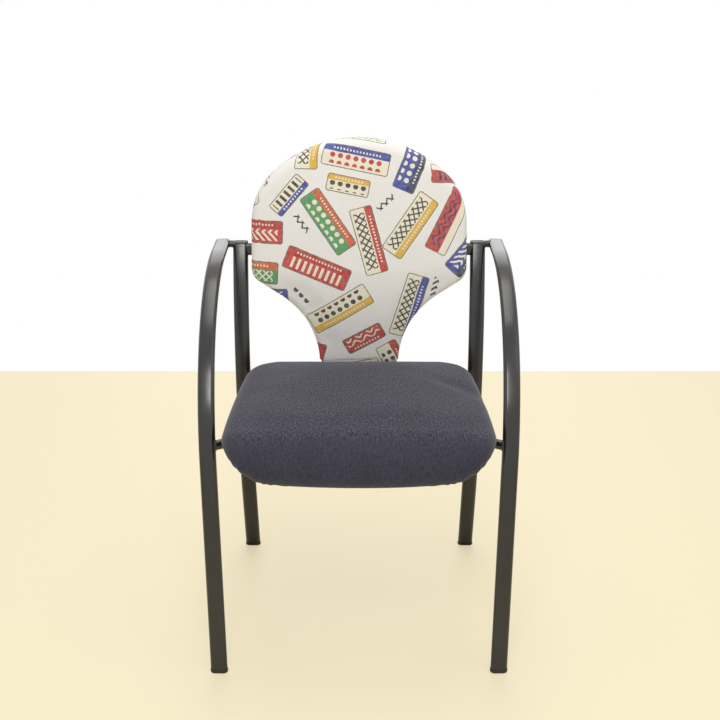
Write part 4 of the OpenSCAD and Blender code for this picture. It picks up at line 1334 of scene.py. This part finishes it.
@dataclass
class Padding:
    """Turns a skin into a closed, dressed cushion with a hollow for its board."""

    skin: Skin
    hollow: list[np.ndarray]
    pressure: float = 4.0
    cap: float = 4.0
    rounds: int = 10

    def closed(self, points: np.ndarray) -> tuple[np.ndarray, list[tuple[int, ...]], np.ndarray]:
        """Close the skin with the walls and the floor of the hollow.

        Args:
            points: The skin's points.

        Returns:
            All points, all faces, and each point's place on the cloth.
        """
        outline, count, faces = self.skin.outline, len(self.skin.outline.points), self.skin.faces
        walls = len(points) + np.arange(len(self.hollow) * count).reshape(len(self.hollow), count)
        numbers = np.concatenate([[np.arange(count)], walls])
        faces += quads(np.concatenate([numbers, numbers[:, :1]], axis=1)[::-1])
        a, b, last = outline.across, outline.along, numbers[-1].tolist()
        right = last[a:a + b + 1]
        left = (last[2 * a + b:] + last[:1])[::-1]
        faces += [(left[k], left[k + 1], right[k + 1], right[k]) for k in range(b)]
        faces.append(tuple(last[:a + 1][::-1]))
        faces.append(tuple(last[a + b:2 * a + b + 1][::-1]))
        cloth = np.concatenate([self.skin.cloth, *[self.skin.ring_cloth[0]] * len(self.hollow)])
        return np.concatenate([points, *self.hollow]), faces, cloth

    def piece(self, name: str, finish: Finish,
              relief: Callable[[np.ndarray, np.ndarray], np.ndarray]) -> bpy.types.Object:
        """Swell, close, refine and dress the cushion.

        Args:
            name: The piece's name.
            finish: The cloth it is covered with.
            relief: Gives how far each point stands out, from its place and its place on the cloth.

        Returns:
            The cushion.
        """
        points = self.skin.swell(self.pressure, self.cap)
        points, faces, cloth = self.closed(self.skin.eased(points, self.rounds))
        made = new_object(name, points, faces)
        rough = made.data
        corners = read(rough.loops, "vertex_index", 1, int).ravel()
        rough.uv_layers.new(name="cloth").data.foreach_set("uv", (cloth[corners] * MM).ravel())
        made.modifiers.new("finer", "SUBSURF").levels = 1
        data = bpy.data.meshes.new_from_object(made.evaluated_get(bpy.context.evaluated_depsgraph_get()))
        made.modifiers.clear()
        made.data = data
        bpy.data.meshes.remove(rough)
        data.name = name
        laid = np.zeros((len(data.vertices), 2))
        laid[read(data.loops, "vertex_index", 1, int).ravel()] = read(data.uv_layers["cloth"].data, "uv", 2)
        place = read(data.vertices, "co", 3) / MM
        place += read(data.vertices, "normal", 3) * relief(place, laid / MM)[:, None]
        data.vertices.foreach_set("co", (place * MM).ravel())
        data.shade_smooth()
        data.set_sharp_from_angle(angle=math.radians(60))
        data.update()
        finish.lay_on(data)
        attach(made, BODY)
        return finish.dress(made)


@dataclass
class SeatCushion:
    """The upholstered seat: crowned top, rolled edges and a waterfall front, over a bent plywood pan."""

    stance: Stance
    w_front: float = 486.0
    w_rear: float = 436.0
    bow: float = 4.0
    rear: float = 286.0
    flat: float = 85.0
    fall_radius: float = 42.0
    cushion_fall: float = 95.0
    front_r: float = 84.0
    rear_r: float = 70.0
    pan_t: float = 11.0
    pan_inset: float = 11.0
    foam: float = 23.0
    crown: float = 10.0
    roll: float = 24.0
    lip_bow: float = 8.0
    droop: float = 3.5
    rear_lift: float = 2.5
    fade: float = 75.0
    draw_in: float = 6.0
    fold: tuple[float, float] = (5.0, 4.0)
    cover_t: float = 1.2
    hem_w: float = 26.0
    tab_top: float = 10.5
    tab_x: float = 140.0
    slack: float = 2.0
    held: int = 8
    # How the sides' bow, the lip's bow and the rear's lift spread over the pattern.
    bow_reach: float = 0.3
    lip_half: float = 190.0
    lip_fade: float = 60.0
    lift_start: float = 60.0
    lift_fade: float = 160.0
    # Powers of the crown's fall to the sides, to the front and to the rear.
    crown_powers: tuple[float, float, float] = (2.4, 2.2, 4.0)
    # Each dent's middle on the cloth, its turn in degrees, its two reaches and its depth.
    dents: tuple[tuple[float, float, float, float, float, float], ...] = (
        (178, 128, -38, 62, 20, 3.2), (205, 86, 70, 34, 16, 1.6), (-150, 170, 15, 55, 30, 0.8),
        (60, -40, 10, 80, 45, 0.7), (-70, 30, -20, 95, 60, 1.0), (90, 190, 5, 70, 30, 0.7))
    wave: float = 0.35
    gather: float = 0.55
    # The gathers start this far under the widest line and fade in over this, ahead of and outside these.
    gather_zone: tuple[float, float, float, float] = (6.0, 14.0, -20.0, 120.0)
    # Inset of the liner's edge and of the staples from the hem's inner edge, and the liner's two faces.
    liner_lap: float = 3.0
    liner_faces: tuple[float, float] = (0.85, 0.2)
    liner_sag: float = 0.12
    staple_lap: float = 9.0
    staple_step: float = 31.0
    # A staple's length, width and height, and the depth and width of its bent ends.
    staple: tuple[float, float, float] = (10.0, 1.1, 0.6)
    staple_bend: float = 0.6
    # The staples leave out the four tabs: half a tab's width, and where the tabs lie along the seat.
    tab_half: float = 26.0
    front_tab_end: float = 50.0
    rear_tab_start: float = 200.0

    @property
    def pan_z(self) -> float:
        """Underside of the pan in the seat's frame."""
        return self.tab_top + self.cover_t

    @property
    def front(self) -> float:
        """Front edge of the flat pattern."""
        return -self.flat - self.fall_radius * math.radians(self.cushion_fall)

    @property
    def edge_z(self) -> float:
        """Height of the widest line."""
        return self.pan_z + self.pan_t + self.foam - self.roll

    @property
    def taper(self) -> float:
        """Angle of the seat's sides, in radians."""
        return math.atan((self.w_front - self.w_rear) / 2 / (self.rear - self.front))

    def side_x(self, y: np.ndarray | float, inset: float) -> np.ndarray | float:
        """Half width of the pattern at a depth, drawn in by an inset."""
        return self.w_front / 2 - (y - self.front) * math.tan(self.taper) - inset / math.cos(self.taper)

    def outline(self, across: int = 112, along: int = 96) -> Outline:
        """The pattern's outline."""
        taper = math.degrees(self.taper)
        arcs = []
        for y, radius, start, end in ((self.front + self.front_r, self.front_r, -90, taper),
                                      (self.rear - self.rear_r, self.rear_r, taper, 90)):
            arcs.append(Arc((self.side_x(y, radius), y), radius, start, end))
        outline = Outline(arcs, (0, 1), across, along)
        low, high = self.front + self.front_r, self.rear - self.rear_r
        share = (2 * outline.points[:, 1] - low - high) / (high - low + 2 * self.front_r * self.bow_reach)
        outline.points[:, 0] += self.bow * outline.normals[:, 0] * np.clip(1 - share ** 2, 0, 1)
        return outline

    def placed(self, flat: np.ndarray, z: np.ndarray | float) -> np.ndarray:
        """Carry points of the flat pattern over the waterfall and to their place.

        Args:
            flat: Places on the pattern.
            z: Their heights in the seat's frame.

        Returns:
            Their places in the model's frame.
        """
        x, y = flat[..., 0], flat[..., 1]
        ease = smooth_step((self.fade - self.flat - y) / (2 * self.fade))
        soft = np.clip((z - self.edge_z) / self.roll, 0, 1)
        lift = self.rear_lift * smooth_step((y - self.lift_start) / self.lift_fade)
        z = np.broadcast_to(z + (lift - self.droop * 4 * ease * (1 - ease)) * soft, x.shape)
        lip = np.clip(1 - (x / self.lip_half) ** 2, 0, 1) * smooth_step((-self.flat - y) / self.lip_fade)
        y = y - self.lip_bow * lip
        mid = self.pan_z + self.pan_t / 2
        turn = np.maximum(0.0, (-self.flat - y) / self.fall_radius)
        radius = self.fall_radius + z - mid
        bent = np.where(turn > 0, -self.flat - radius * np.sin(turn), y)
        height = np.where(turn > 0, mid - self.fall_radius + radius * np.cos(turn), z)
        return carried(np.stack([x, bent, height], axis=-1), self.stance.seat_place)

    def crown_at(self, flat: np.ndarray) -> np.ndarray:
        """Height of the crown over the rolled edge, for points of the flat pattern."""
        x, y = flat[..., 0], flat[..., 1]
        middle, half = (self.front + self.rear) / 2, (self.rear - self.front) / 2 - self.roll
        deep, (side, front, rear) = (y - middle) / half, self.crown_powers
        share = (1 - np.abs(x / self.side_x(y, self.roll)) ** side) * (
            1 - np.abs(deep) ** np.where(deep > 0, rear, front))
        return self.crown * np.clip(share, 0, 1)

    def relief(self, place: np.ndarray, cloth: np.ndarray) -> np.ndarray:
        """Soft dents of use, and the small gathers where the cloth turns under the corners.

        Args:
            place: The points.
            cloth: Where they lie on the cloth.

        Returns:
            How far each point stands out.
        """
        out = np.zeros(len(place))
        across, along = cloth.T
        for x, y, turn, long, wide, depth in self.dents:
            cos, sin = math.cos(math.radians(turn)), math.sin(math.radians(turn))
            dx, dy = across - x, along - y
            out -= depth * np.exp(-((dx * cos + dy * sin) / long) ** 2 - ((dy * cos - dx * sin) / wide) ** 2)
        wave = np.sin(across * 0.031 + 1.3 * np.sin(along * 0.017)) * np.sin(along * 0.027 + 0.7)
        out += self.wave * wave * (np.abs(across) < self.lip_half)
        x, y, z = carried(place, self.stance.seat_place.inverted()).T
        angle = np.arctan2(np.abs(x) - (self.w_front / 2 - self.front_r), -(y + self.flat))
        drop, fade, ahead, outside = self.gather_zone
        under = smooth_step((self.edge_z - drop - z) / fade) * (y < ahead) * (np.abs(x) > outside)
        return out + self.gather * under * np.sin(angle * 22 + 1.5 * np.sin(angle * 7))

    def build(self) -> None:
        """Build the cushion, its liner and the staples, and dress them."""
        outline = self.outline()
        low, bottom = self.pan_z - self.cover_t, self.edge_z
        hem = self.pan_inset + self.hem_w
        levels = [(inset, low) for inset in (hem, hem - 8, hem - 18, self.draw_in + 8)]
        fold_in, fold_up = self.fold
        levels += [(self.draw_in + fold_in * (1 - sin), low + fold_up * (1 - cos))
                   for cos, sin in quarter(4, 0.3)]
        levels += [(self.draw_in * (1 - share) ** 2, low + (bottom - low) * share) for share in (0.55, 0.8)]
        levels += [(self.roll * (1 - cos), bottom + self.roll * sin) for cos, sin in quarter(13)]
        travel = np.concatenate([[0.0], np.cumsum([math.dist(p, q) for p, q in zip(levels, levels[1:])])])
        inner = outline.drawn_in(self.roll)
        rings, cloth = [], []
        for (inset, z), gone in zip(levels, travel):
            flat = outline.drawn_in(inset)
            rings.append(self.placed(flat, z))
            cloth.append(inner + outline.normals * (travel[-1] - gone))
        grid = outline.filled(inner)
        top = bottom + self.roll
        skin = Skin(outline, rings, cloth, self.placed(grid, top + self.crown_at(grid)), grid, self.held)
        under, beside, above = self.pan_z - 0.1, self.pan_inset - 0.3, self.pan_z + self.pan_t + 0.3
        hollow = [(hem, under), (beside, under), (beside, above)]
        padding = Padding(skin, [self.placed(outline.drawn_in(inset), z) for inset, z in hollow],
                          cap=self.slack)
        made = padding.piece("seat_upholstery", WEAVE, self.relief)
        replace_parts(made, "seat_cover", "seat_foam")
        LOG.info("seat upholstery built")
        self.build_liner(outline, hem)

    def build_liner(self, outline: Outline, hem: float) -> None:
        """Stretch the dust liner under the pan, and staple the hem.

        Args:
            outline: The pattern's outline.
            hem: Inset of the hem's inner edge.
        """
        edge = outline.drawn_in(hem - self.liner_lap)
        grid = outline.filled(edge)
        x, y = grid[..., 0], grid[..., 1]
        sag = self.liner_sag * np.sin(x * 0.05 + np.sin(y * 0.06)) * np.sin(y * 0.045)
        index = np.arange(x.size).reshape(x.shape)
        count = index.size
        rim = np.concatenate([index[0, :-1], index[:-1, -1], index[-1, :0:-1], index[:0:-1, 0]])
        points = np.concatenate([self.placed(grid, self.pan_z - down + sag).reshape(-1, 3)
                                 for down in self.liner_faces])
        faces = [face[::-1] for face in quads(index)] + quads(index + count)
        faces += [(a, b, b + count, a + count) for a, b in zip(rim, np.roll(rim, -1))]
        mesh = Mesh([Vector(p) for p in points], [tuple(int(i) for i in face) for face in faces])
        liner = mesh.piece("stretched_seat_liner", LINER)
        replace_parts(liner, "seat_liner")
        staples, gone = Mesh(), 0.0
        line = outline.drawn_in(hem - self.staple_lap)
        for p, q in zip(line, np.roll(line, -1, axis=0)):
            gone += math.dist(p, q)
            over_tab = abs(abs(p[0]) - self.tab_x) < self.tab_half and (
                p[1] > self.rear_tab_start or abs(p[1]) < self.front_tab_end)
            if gone < self.staple_step or over_tab:
                continue
            gone = 0.0
            staples.add(self.staple_at(p, Vector((*(q - p), 0)).normalized()))
        staples.piece("hem_staples", ZINC)
        x, y = edge.T
        across, deep = float(np.ptp(x)), float(np.ptp(y))
        area = 0.5 * abs(float(np.dot(x, np.roll(y, -1)) - np.dot(y, np.roll(x, -1))))
        LOG.info("liner %.0f x %.0f mm stretched, hem stapled", across, deep)

    def staple_at(self, spot: np.ndarray, along: Vector) -> Mesh:
        """Drive one staple into the hem.

        Args:
            spot: Its place on the flat pattern.
            along: The way its crown lies there.

        Returns:
            The staple, a wire with turned-down ends.
        """
        (length, width, height), bend = self.staple, self.staple_bend
        low, aside = self.pan_z - self.cover_t, Vector((-along.y, along.x, 0))
        half = [(length / 2 - bend, -height), (length / 2, -height * bend), (length / 2, bend)]
        profile = [(-reach, z) for reach, z in reversed(half)] + half
        n, spots = len(profile), []
        for side in (-width / 2, width / 2):
            for reach, z in profile:
                wire = Vector((*spot, 0)) + along * reach + aside * side
                spots.append((wire.x, wire.y, low + z))
        points = self.placed(np.array(spots)[:, :2], np.array(spots)[:, 2])
        faces = [tuple(range(n)), tuple(range(2 * n - 1, n - 1, -1))]
        faces += [(k, k + n, (k + 1) % n + n, (k + 1) % n) for k in range(n)]
        return Mesh([Vector(p) for p in points], faces)


@dataclass
class Back:
    """The upholstered back: a bent board with padding in front and a moulded shell behind."""

    stance: Stance
    head_w: float = 421.0
    head_side_h: float = 83.0
    head_corner_r: float = 126.0
    head_top_r: float = 250.0
    head_corner_z: float = 702.5
    shoulder_r: float = 28.0
    shoulder_angle: float = 57.0
    waist_r: float = 164.0
    neck_w: float = 156.5
    neck_flare: float = 0.5
    foot_r: float = 18.0
    board_z: float = 370.0
    upholstery_z: float = 424.0
    lean: float = 15.0
    bend_r: float = 560.0
    bend_z: float = 478.0
    board_t: float = 10.0
    head_pad: float = 21.5
    neck_pad: float = 10.5
    roll: float = 16.2
    board_inset: float = 5.0
    panel_depth: float = 10.0
    panel_inset: float = 3.0
    panel_roll: float = 7.5
    crown: float = 3.0
    slack: float = 2.5
    held: int = 6
    lap_round: float = 2.2
    # Each hollow's middle in x and z, its two reaches and its depth.
    hollows: tuple[tuple[float, float, float, float, float], ...] = (
        (-90, 640, 80, 60, 0.9), (70, 770, 90, 50, 0.8), (110, 660, 50, 80, 0.6))
    wave: float = 0.4
    # The pulls at the neck: their middle in x and z, their reach and their height.
    pulls: tuple[float, float, float, float] = (118.0, 535.0, 34.0, 0.5)

    @property
    def bend_top(self) -> float:
        """Height at which the bend ends and the straight head starts."""
        return self.bend_z + self.bend_r * math.sin(math.radians(self.lean))

    def bow(self, z: np.ndarray | float) -> np.ndarray:
        """How far the board's face has bent backward at a height."""
        lean = math.radians(self.lean)
        z = np.asarray(z, float)
        inside = self.bend_r - np.sqrt(np.maximum(self.bend_r ** 2 - (z - self.bend_z) ** 2, 0.0))
        above = self.bend_r * (1 - math.cos(lean)) + (z - self.bend_top) * math.tan(lean)
        return np.where(z < self.bend_z, 0.0, np.where(z < self.bend_top, inside, above))

    @property
    def board_y(self) -> float:
        """Front face of the board at the neck, in the model's frame."""
        bar = self.stance.bar_middle
        behind = (self.stance.bar_t / 2 + 0.3) / math.cos(math.radians(self.lean))
        return bar.y - (self.board_t + self.panel_depth + behind) - float(self.bow(bar.z))

    def cloth_v(self, z: np.ndarray) -> np.ndarray:
        """Distance along the bent board at a height."""
        heights = np.linspace(300, 900, 1201)
        steps = np.hypot(np.diff(heights), np.diff(self.bow(heights)))
        return np.interp(z, heights, 300 + np.concatenate([[0.0], np.cumsum(steps)]))

    def outline(self, bottom: float, inset: float, across: int = 96, along: int = 128) -> Outline:
        """The back's outline, drawn in and cut off at the bottom.

        Args:
            bottom: Height of its lower edge.
            inset: How far it is drawn in.
            across: Steps along its lower and upper edges.
            along: Steps up each side.

        Returns:
            The outline in x and z.
        """
        flare, shoulder = math.radians(self.neck_flare), math.radians(self.shoulder_angle)
        waist_dx = self.waist_r * (math.cos(flare) - math.cos(shoulder))
        sweep = ((self.head_w / 2 - self.shoulder_r * (1 - math.cos(shoulder)) - waist_dx - self.neck_w / 2)
                 / math.sin(shoulder))
        shoulder_c = np.array([self.head_w / 2 - self.shoulder_r, self.head_corner_z - self.head_side_h])
        way = np.array([math.cos(shoulder), -math.sin(shoulder)])
        down = np.array([math.sin(shoulder), math.cos(shoulder)])
        sweep_end = shoulder_c + self.shoulder_r * way - sweep * down
        waist_c = sweep_end + self.waist_r * way
        foot_z = bottom + self.foot_r
        start = waist_c - (self.waist_r + self.foot_r) * np.array([math.cos(flare), -math.sin(flare)])
        foot_x = start[0] + (start[1] - foot_z) * math.tan(flare)
        turn = math.acos((self.head_w / 2 - self.head_corner_r) / (self.head_top_r - self.head_corner_r))
        top_z = self.head_corner_z + self.head_top_r - (self.head_top_r - self.head_corner_r) * math.sin(turn)
        corner = math.degrees(turn)
        shift = math.tan(flare) * inset
        arcs = (Arc((foot_x - shift, foot_z), self.foot_r - inset, -90, -self.neck_flare),
                Arc(tuple(waist_c), self.waist_r + inset, 180 - self.neck_flare,
                    180 - self.shoulder_angle, True),
                Arc(tuple(shoulder_c), self.shoulder_r - inset, -self.shoulder_angle, 0),
                Arc((self.head_w / 2 - self.head_corner_r, self.head_corner_z), self.head_corner_r - inset,
                    0, corner),
                Arc((0.0, top_z - self.head_top_r), self.head_top_r - inset, corner, 90))
        return Outline(arcs, (0, 3), across, along)

    def placed(self, flat: np.ndarray, depth: np.ndarray | float) -> np.ndarray:
        """Carry points of the outline's plane onto the bent back.

        Args:
            flat: Their x and z.
            depth: How far they lie behind the board's front face.

        Returns:
            Their places in the model's frame.
        """
        x, z = flat[..., 0], flat[..., 1]
        return np.stack([x, self.board_y + self.bow(z) + depth, z], axis=-1)

    def pad(self, z: np.ndarray) -> np.ndarray:
        """Thickness of the padding in front of the board at a height."""
        shoulder_z = self.head_corner_z - self.head_side_h
        return self.neck_pad + (self.head_pad - self.neck_pad) * np.clip(
            (z - self.bend_z) / (shoulder_z - self.bend_z), 0, 1)

    def relief(self, place: np.ndarray, cloth: np.ndarray) -> np.ndarray:
        """Shallow waves in the padding, and pulls where the cloth turns round the hollow of the neck.

        Args:
            place: The points.
            cloth: Where they lie on the cloth.

        Returns:
            How far each point stands out.
        """
        out = self.wave * np.sin(cloth[:, 0] * 0.028 + 0.9) * np.sin(cloth[:, 1] * 0.024 + 0.4)
        for x, z, reach_x, reach_z, depth in self.hollows:
            out -= depth * np.exp(-((place[:, 0] - x) / reach_x) ** 2 - ((place[:, 2] - z) / reach_z) ** 2)
        x, z, reach, height = self.pulls
        for side in (-1, 1):
            dx, dz = place[:, 0] - side * x, place[:, 2] - z
            angle = np.arctan2(dz, -side * dx)
            near = np.exp(-(np.hypot(dx, dz) / reach) ** 2)
            out += height * near * np.sin(angle * 9 + 0.6 * np.sin(angle * 4))
        return out

    def build(self) -> None:
        """Build the padding and the rear shell, and dress them."""
        outline = self.outline(self.upholstery_z, 0.0)
        base_z, rear, lap = outline.points[:, 1], self.board_t, self.lap_round
        roll = np.minimum(self.roll, self.pad(base_z))
        # Each ring's inset, its depth, and whether that depth is counted from the padding's face.
        levels = [(self.board_inset, rear, 0)]
        levels += [(lap * (1 - sin), rear - lap * (1 - cos), 0) for cos, sin in quarter(4)]
        levels.append((0.0, rear * 0.4, 0))
        levels += [(roll * (1 - cos), roll * (1 - sin), 1) for cos, sin in quarter(12)]
        rings = []
        for inset, depth, padded in levels:
            flat = outline.drawn_in(inset)
            rings.append(self.placed(flat, depth - padded * self.pad(flat[:, 1])))
        gone = [np.zeros(len(base_z))]
        for before, after in zip(rings[::-1], rings[-2::-1]):
            gone.append(gone[-1] + np.linalg.norm(after - before, axis=1))
        inner = outline.drawn_in(roll)
        middle = np.stack([inner[:, 0], self.cloth_v(inner[:, 1])], axis=1)
        cloth = [middle + outline.normals * far[:, None] for far in gone[::-1]]
        grid = outline.filled(inner)
        across, along = outline.shares()
        bulge = self.crown * smooth_step((1 - across ** 2) * (1 - along ** 2) * 1.6)
        skin = Skin(outline, rings, cloth, self.placed(grid, -self.pad(grid[..., 1]) - bulge),
                    np.stack([grid[..., 0], self.cloth_v(grid[..., 1])], axis=-1), self.held)
        flat = outline.drawn_in(self.board_inset - 0.3)
        padding = Padding(skin, [self.placed(flat, rear - 0.2), self.placed(flat, -0.2)], cap=self.slack)
        made = padding.piece("back_upholstery", CANVAS, self.relief)
        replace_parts(made, "back_cover", "back_foam")
        LOG.info("back upholstery built")
        ease, front, rear = 0.6, 0.1, self.board_t - 0.1
        board = self.layer(self.board_inset, [
            (ease, front), (0.0, front + ease), (0.0, rear - ease), (ease, rear)])
        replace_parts(board.piece("back_board_plywood", PLY, 50.0), "back_board")
        start, depth, roll = self.board_t + 0.3, self.board_t + self.panel_depth, self.panel_roll
        levels = [(0.5, start), (0.0, start + 0.5)]
        levels += [(roll * (1 - cos), depth - roll * (1 - sin)) for cos, sin in quarter(10)]
        shell = self.layer(self.panel_inset, levels)
        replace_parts(shell.piece("back_shell_moulding", SHELL_PLASTIC, 50.0), "back_panel")
        LOG.info("board and rear shell built")

    def layer(self, inset: float, levels: Sequence[tuple[float, float]]) -> Mesh:
        """Build a closed layer that follows the bent board.

        Args:
            inset: How far its outline is drawn in from the back's.
            levels: How far each ring is drawn in from that, and its depth behind the board's front face.

        Returns:
            The layer.
        """
        outline = self.outline(self.board_z, inset, 72, 128)
        flat = [outline.drawn_in(step) for step, _ in levels]
        rings = [self.placed(loop, depth) for loop, (_, depth) in zip(flat, levels)]
        grid = outline.filled(flat[-1])
        skin = Skin(outline, rings, flat, self.placed(grid, levels[-1][1]), grid, 0)
        points, faces, _ = Padding(skin, []).closed(skin.points)
        return Mesh([Vector(p) for p in points], [face[::-1] for face in faces])


@dataclass
class Fittings:
    """The model's own small pieces, which keep their shapes and get their finishes here."""

    finishes: dict[str, Finish] = field(default_factory=lambda: {
        "spacer": COAT, "tab": COAT, "bar": COAT, "bracket": COAT, "plug": END_PLASTIC,
        "glide": GLIDE_PLASTIC, "pan": PLY, "board": PLY, "bolts": ZINC, "washers": ZINC, "nuts": ZINC})

    def dress(self) -> None:
        """Finish each node by the last word of its name."""
        for name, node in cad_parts.items():
            finish = self.finishes.get(name.rsplit("_", 1)[-1])
            if finish is None:
                continue
            for socket in node.material_slots:
                socket.material = finish.material()
            LOG.info("%s finished in %s", name, finish.name)


@dataclass
class Studio:
    """Floor, lamps, world and camera."""

    lens: float = 64.65
    camera_place: tuple[float, float, float] = (0.0018, -2.2275, 1.379)
    camera_turn: float = 68.5
    floor_back: float = 1.187
    floor_front: float = -4.0
    floor_side: float = 4.0
    surround: float = 0.52
    aim_z: float = 0.45
    # Each lamp's name, place, width in metres and power in watts.
    lamps: tuple[tuple[str, tuple[float, float, float], float, float], ...] = (
        ("key", (-0.1, -2.0, 2.45), 1.0, 25.0), ("fill", (1.7, -0.7, 2.3), 1.6, 6.0),
        ("top", (0.0, 0.6, 2.9), 1.6, 22.0), ("rim", (0.0, 3.2, 1.75), 2.2, 24.0))

    def build(self) -> None:
        """Lay the floor, hang the lamps and set up the camera."""
        side, front, back = self.floor_side, self.floor_front, self.floor_back
        corners = [(-side, front, 0), (side, front, 0), (side, back, 0), (-side, back, 0)]
        floor = new_object("floor", corners, [(0, 1, 2, 3)], 1.0)
        floor.data.materials.append(StudioPaint().material())
        self.light_world()
        for name, place, size, power in self.lamps:
            lamp = bpy.data.lights.new(name, "AREA")
            lamp.shape, lamp.size, lamp.energy = "SQUARE", size, power
            hung = bpy.data.objects.new(name, lamp)
            hung.location = place
            aim = UP * self.aim_z - Vector(place)
            hung.rotation_euler = aim.to_track_quat("-Z", "Y").to_euler()
            bpy.context.scene.collection.objects.link(hung)
        lens = bpy.data.cameras.new("camera")
        lens.lens, lens.sensor_width = self.lens, 36.0
        camera = bpy.data.objects.new("camera", lens)
        camera.location = self.camera_place
        camera.rotation_euler = (math.radians(self.camera_turn), 0.0, 0.0)
        bpy.context.scene.collection.objects.link(camera)
        bpy.context.scene.camera = camera
        bpy.context.scene.view_settings.view_transform = "Standard"
        LOG.info("studio set up")

    def light_world(self) -> None:
        """Show a white surround, which lights the chair a little less than it shows."""
        world = bpy.data.worlds.new("studio")
        bpy.context.scene.world = world
        world.use_nodes = True
        world.node_tree.nodes.clear()
        add = partial(add_node, world.node_tree)
        path = add("LightPath").outputs
        seen = path["Is Camera Ray"]
        for other in ("Is Glossy Ray", "Is Transmission Ray"):
            seen = add("Math", {0: seen, 1: path[other]}, operation="MAXIMUM")
        strength = add("MapRange", {"Value": seen, "To Min": self.surround})
        shell = add("Background", {"Color": (1.0, 1.0, 1.0, 1.0), "Strength": strength})
        add("OutputWorld", {"Surface": shell})


def main() -> None:
    """Build the chair, class by class."""
    logging.basicConfig(level=logging.INFO, format="%(name)s: %(message)s")
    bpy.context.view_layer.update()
    stance = Stance()
    TubeFrame(stance).build()
    SeatCushion(stance).build()
    Back(stance).build()
    Fittings().dress()
    Studio().build()


if __name__ == "__main__":
    main()
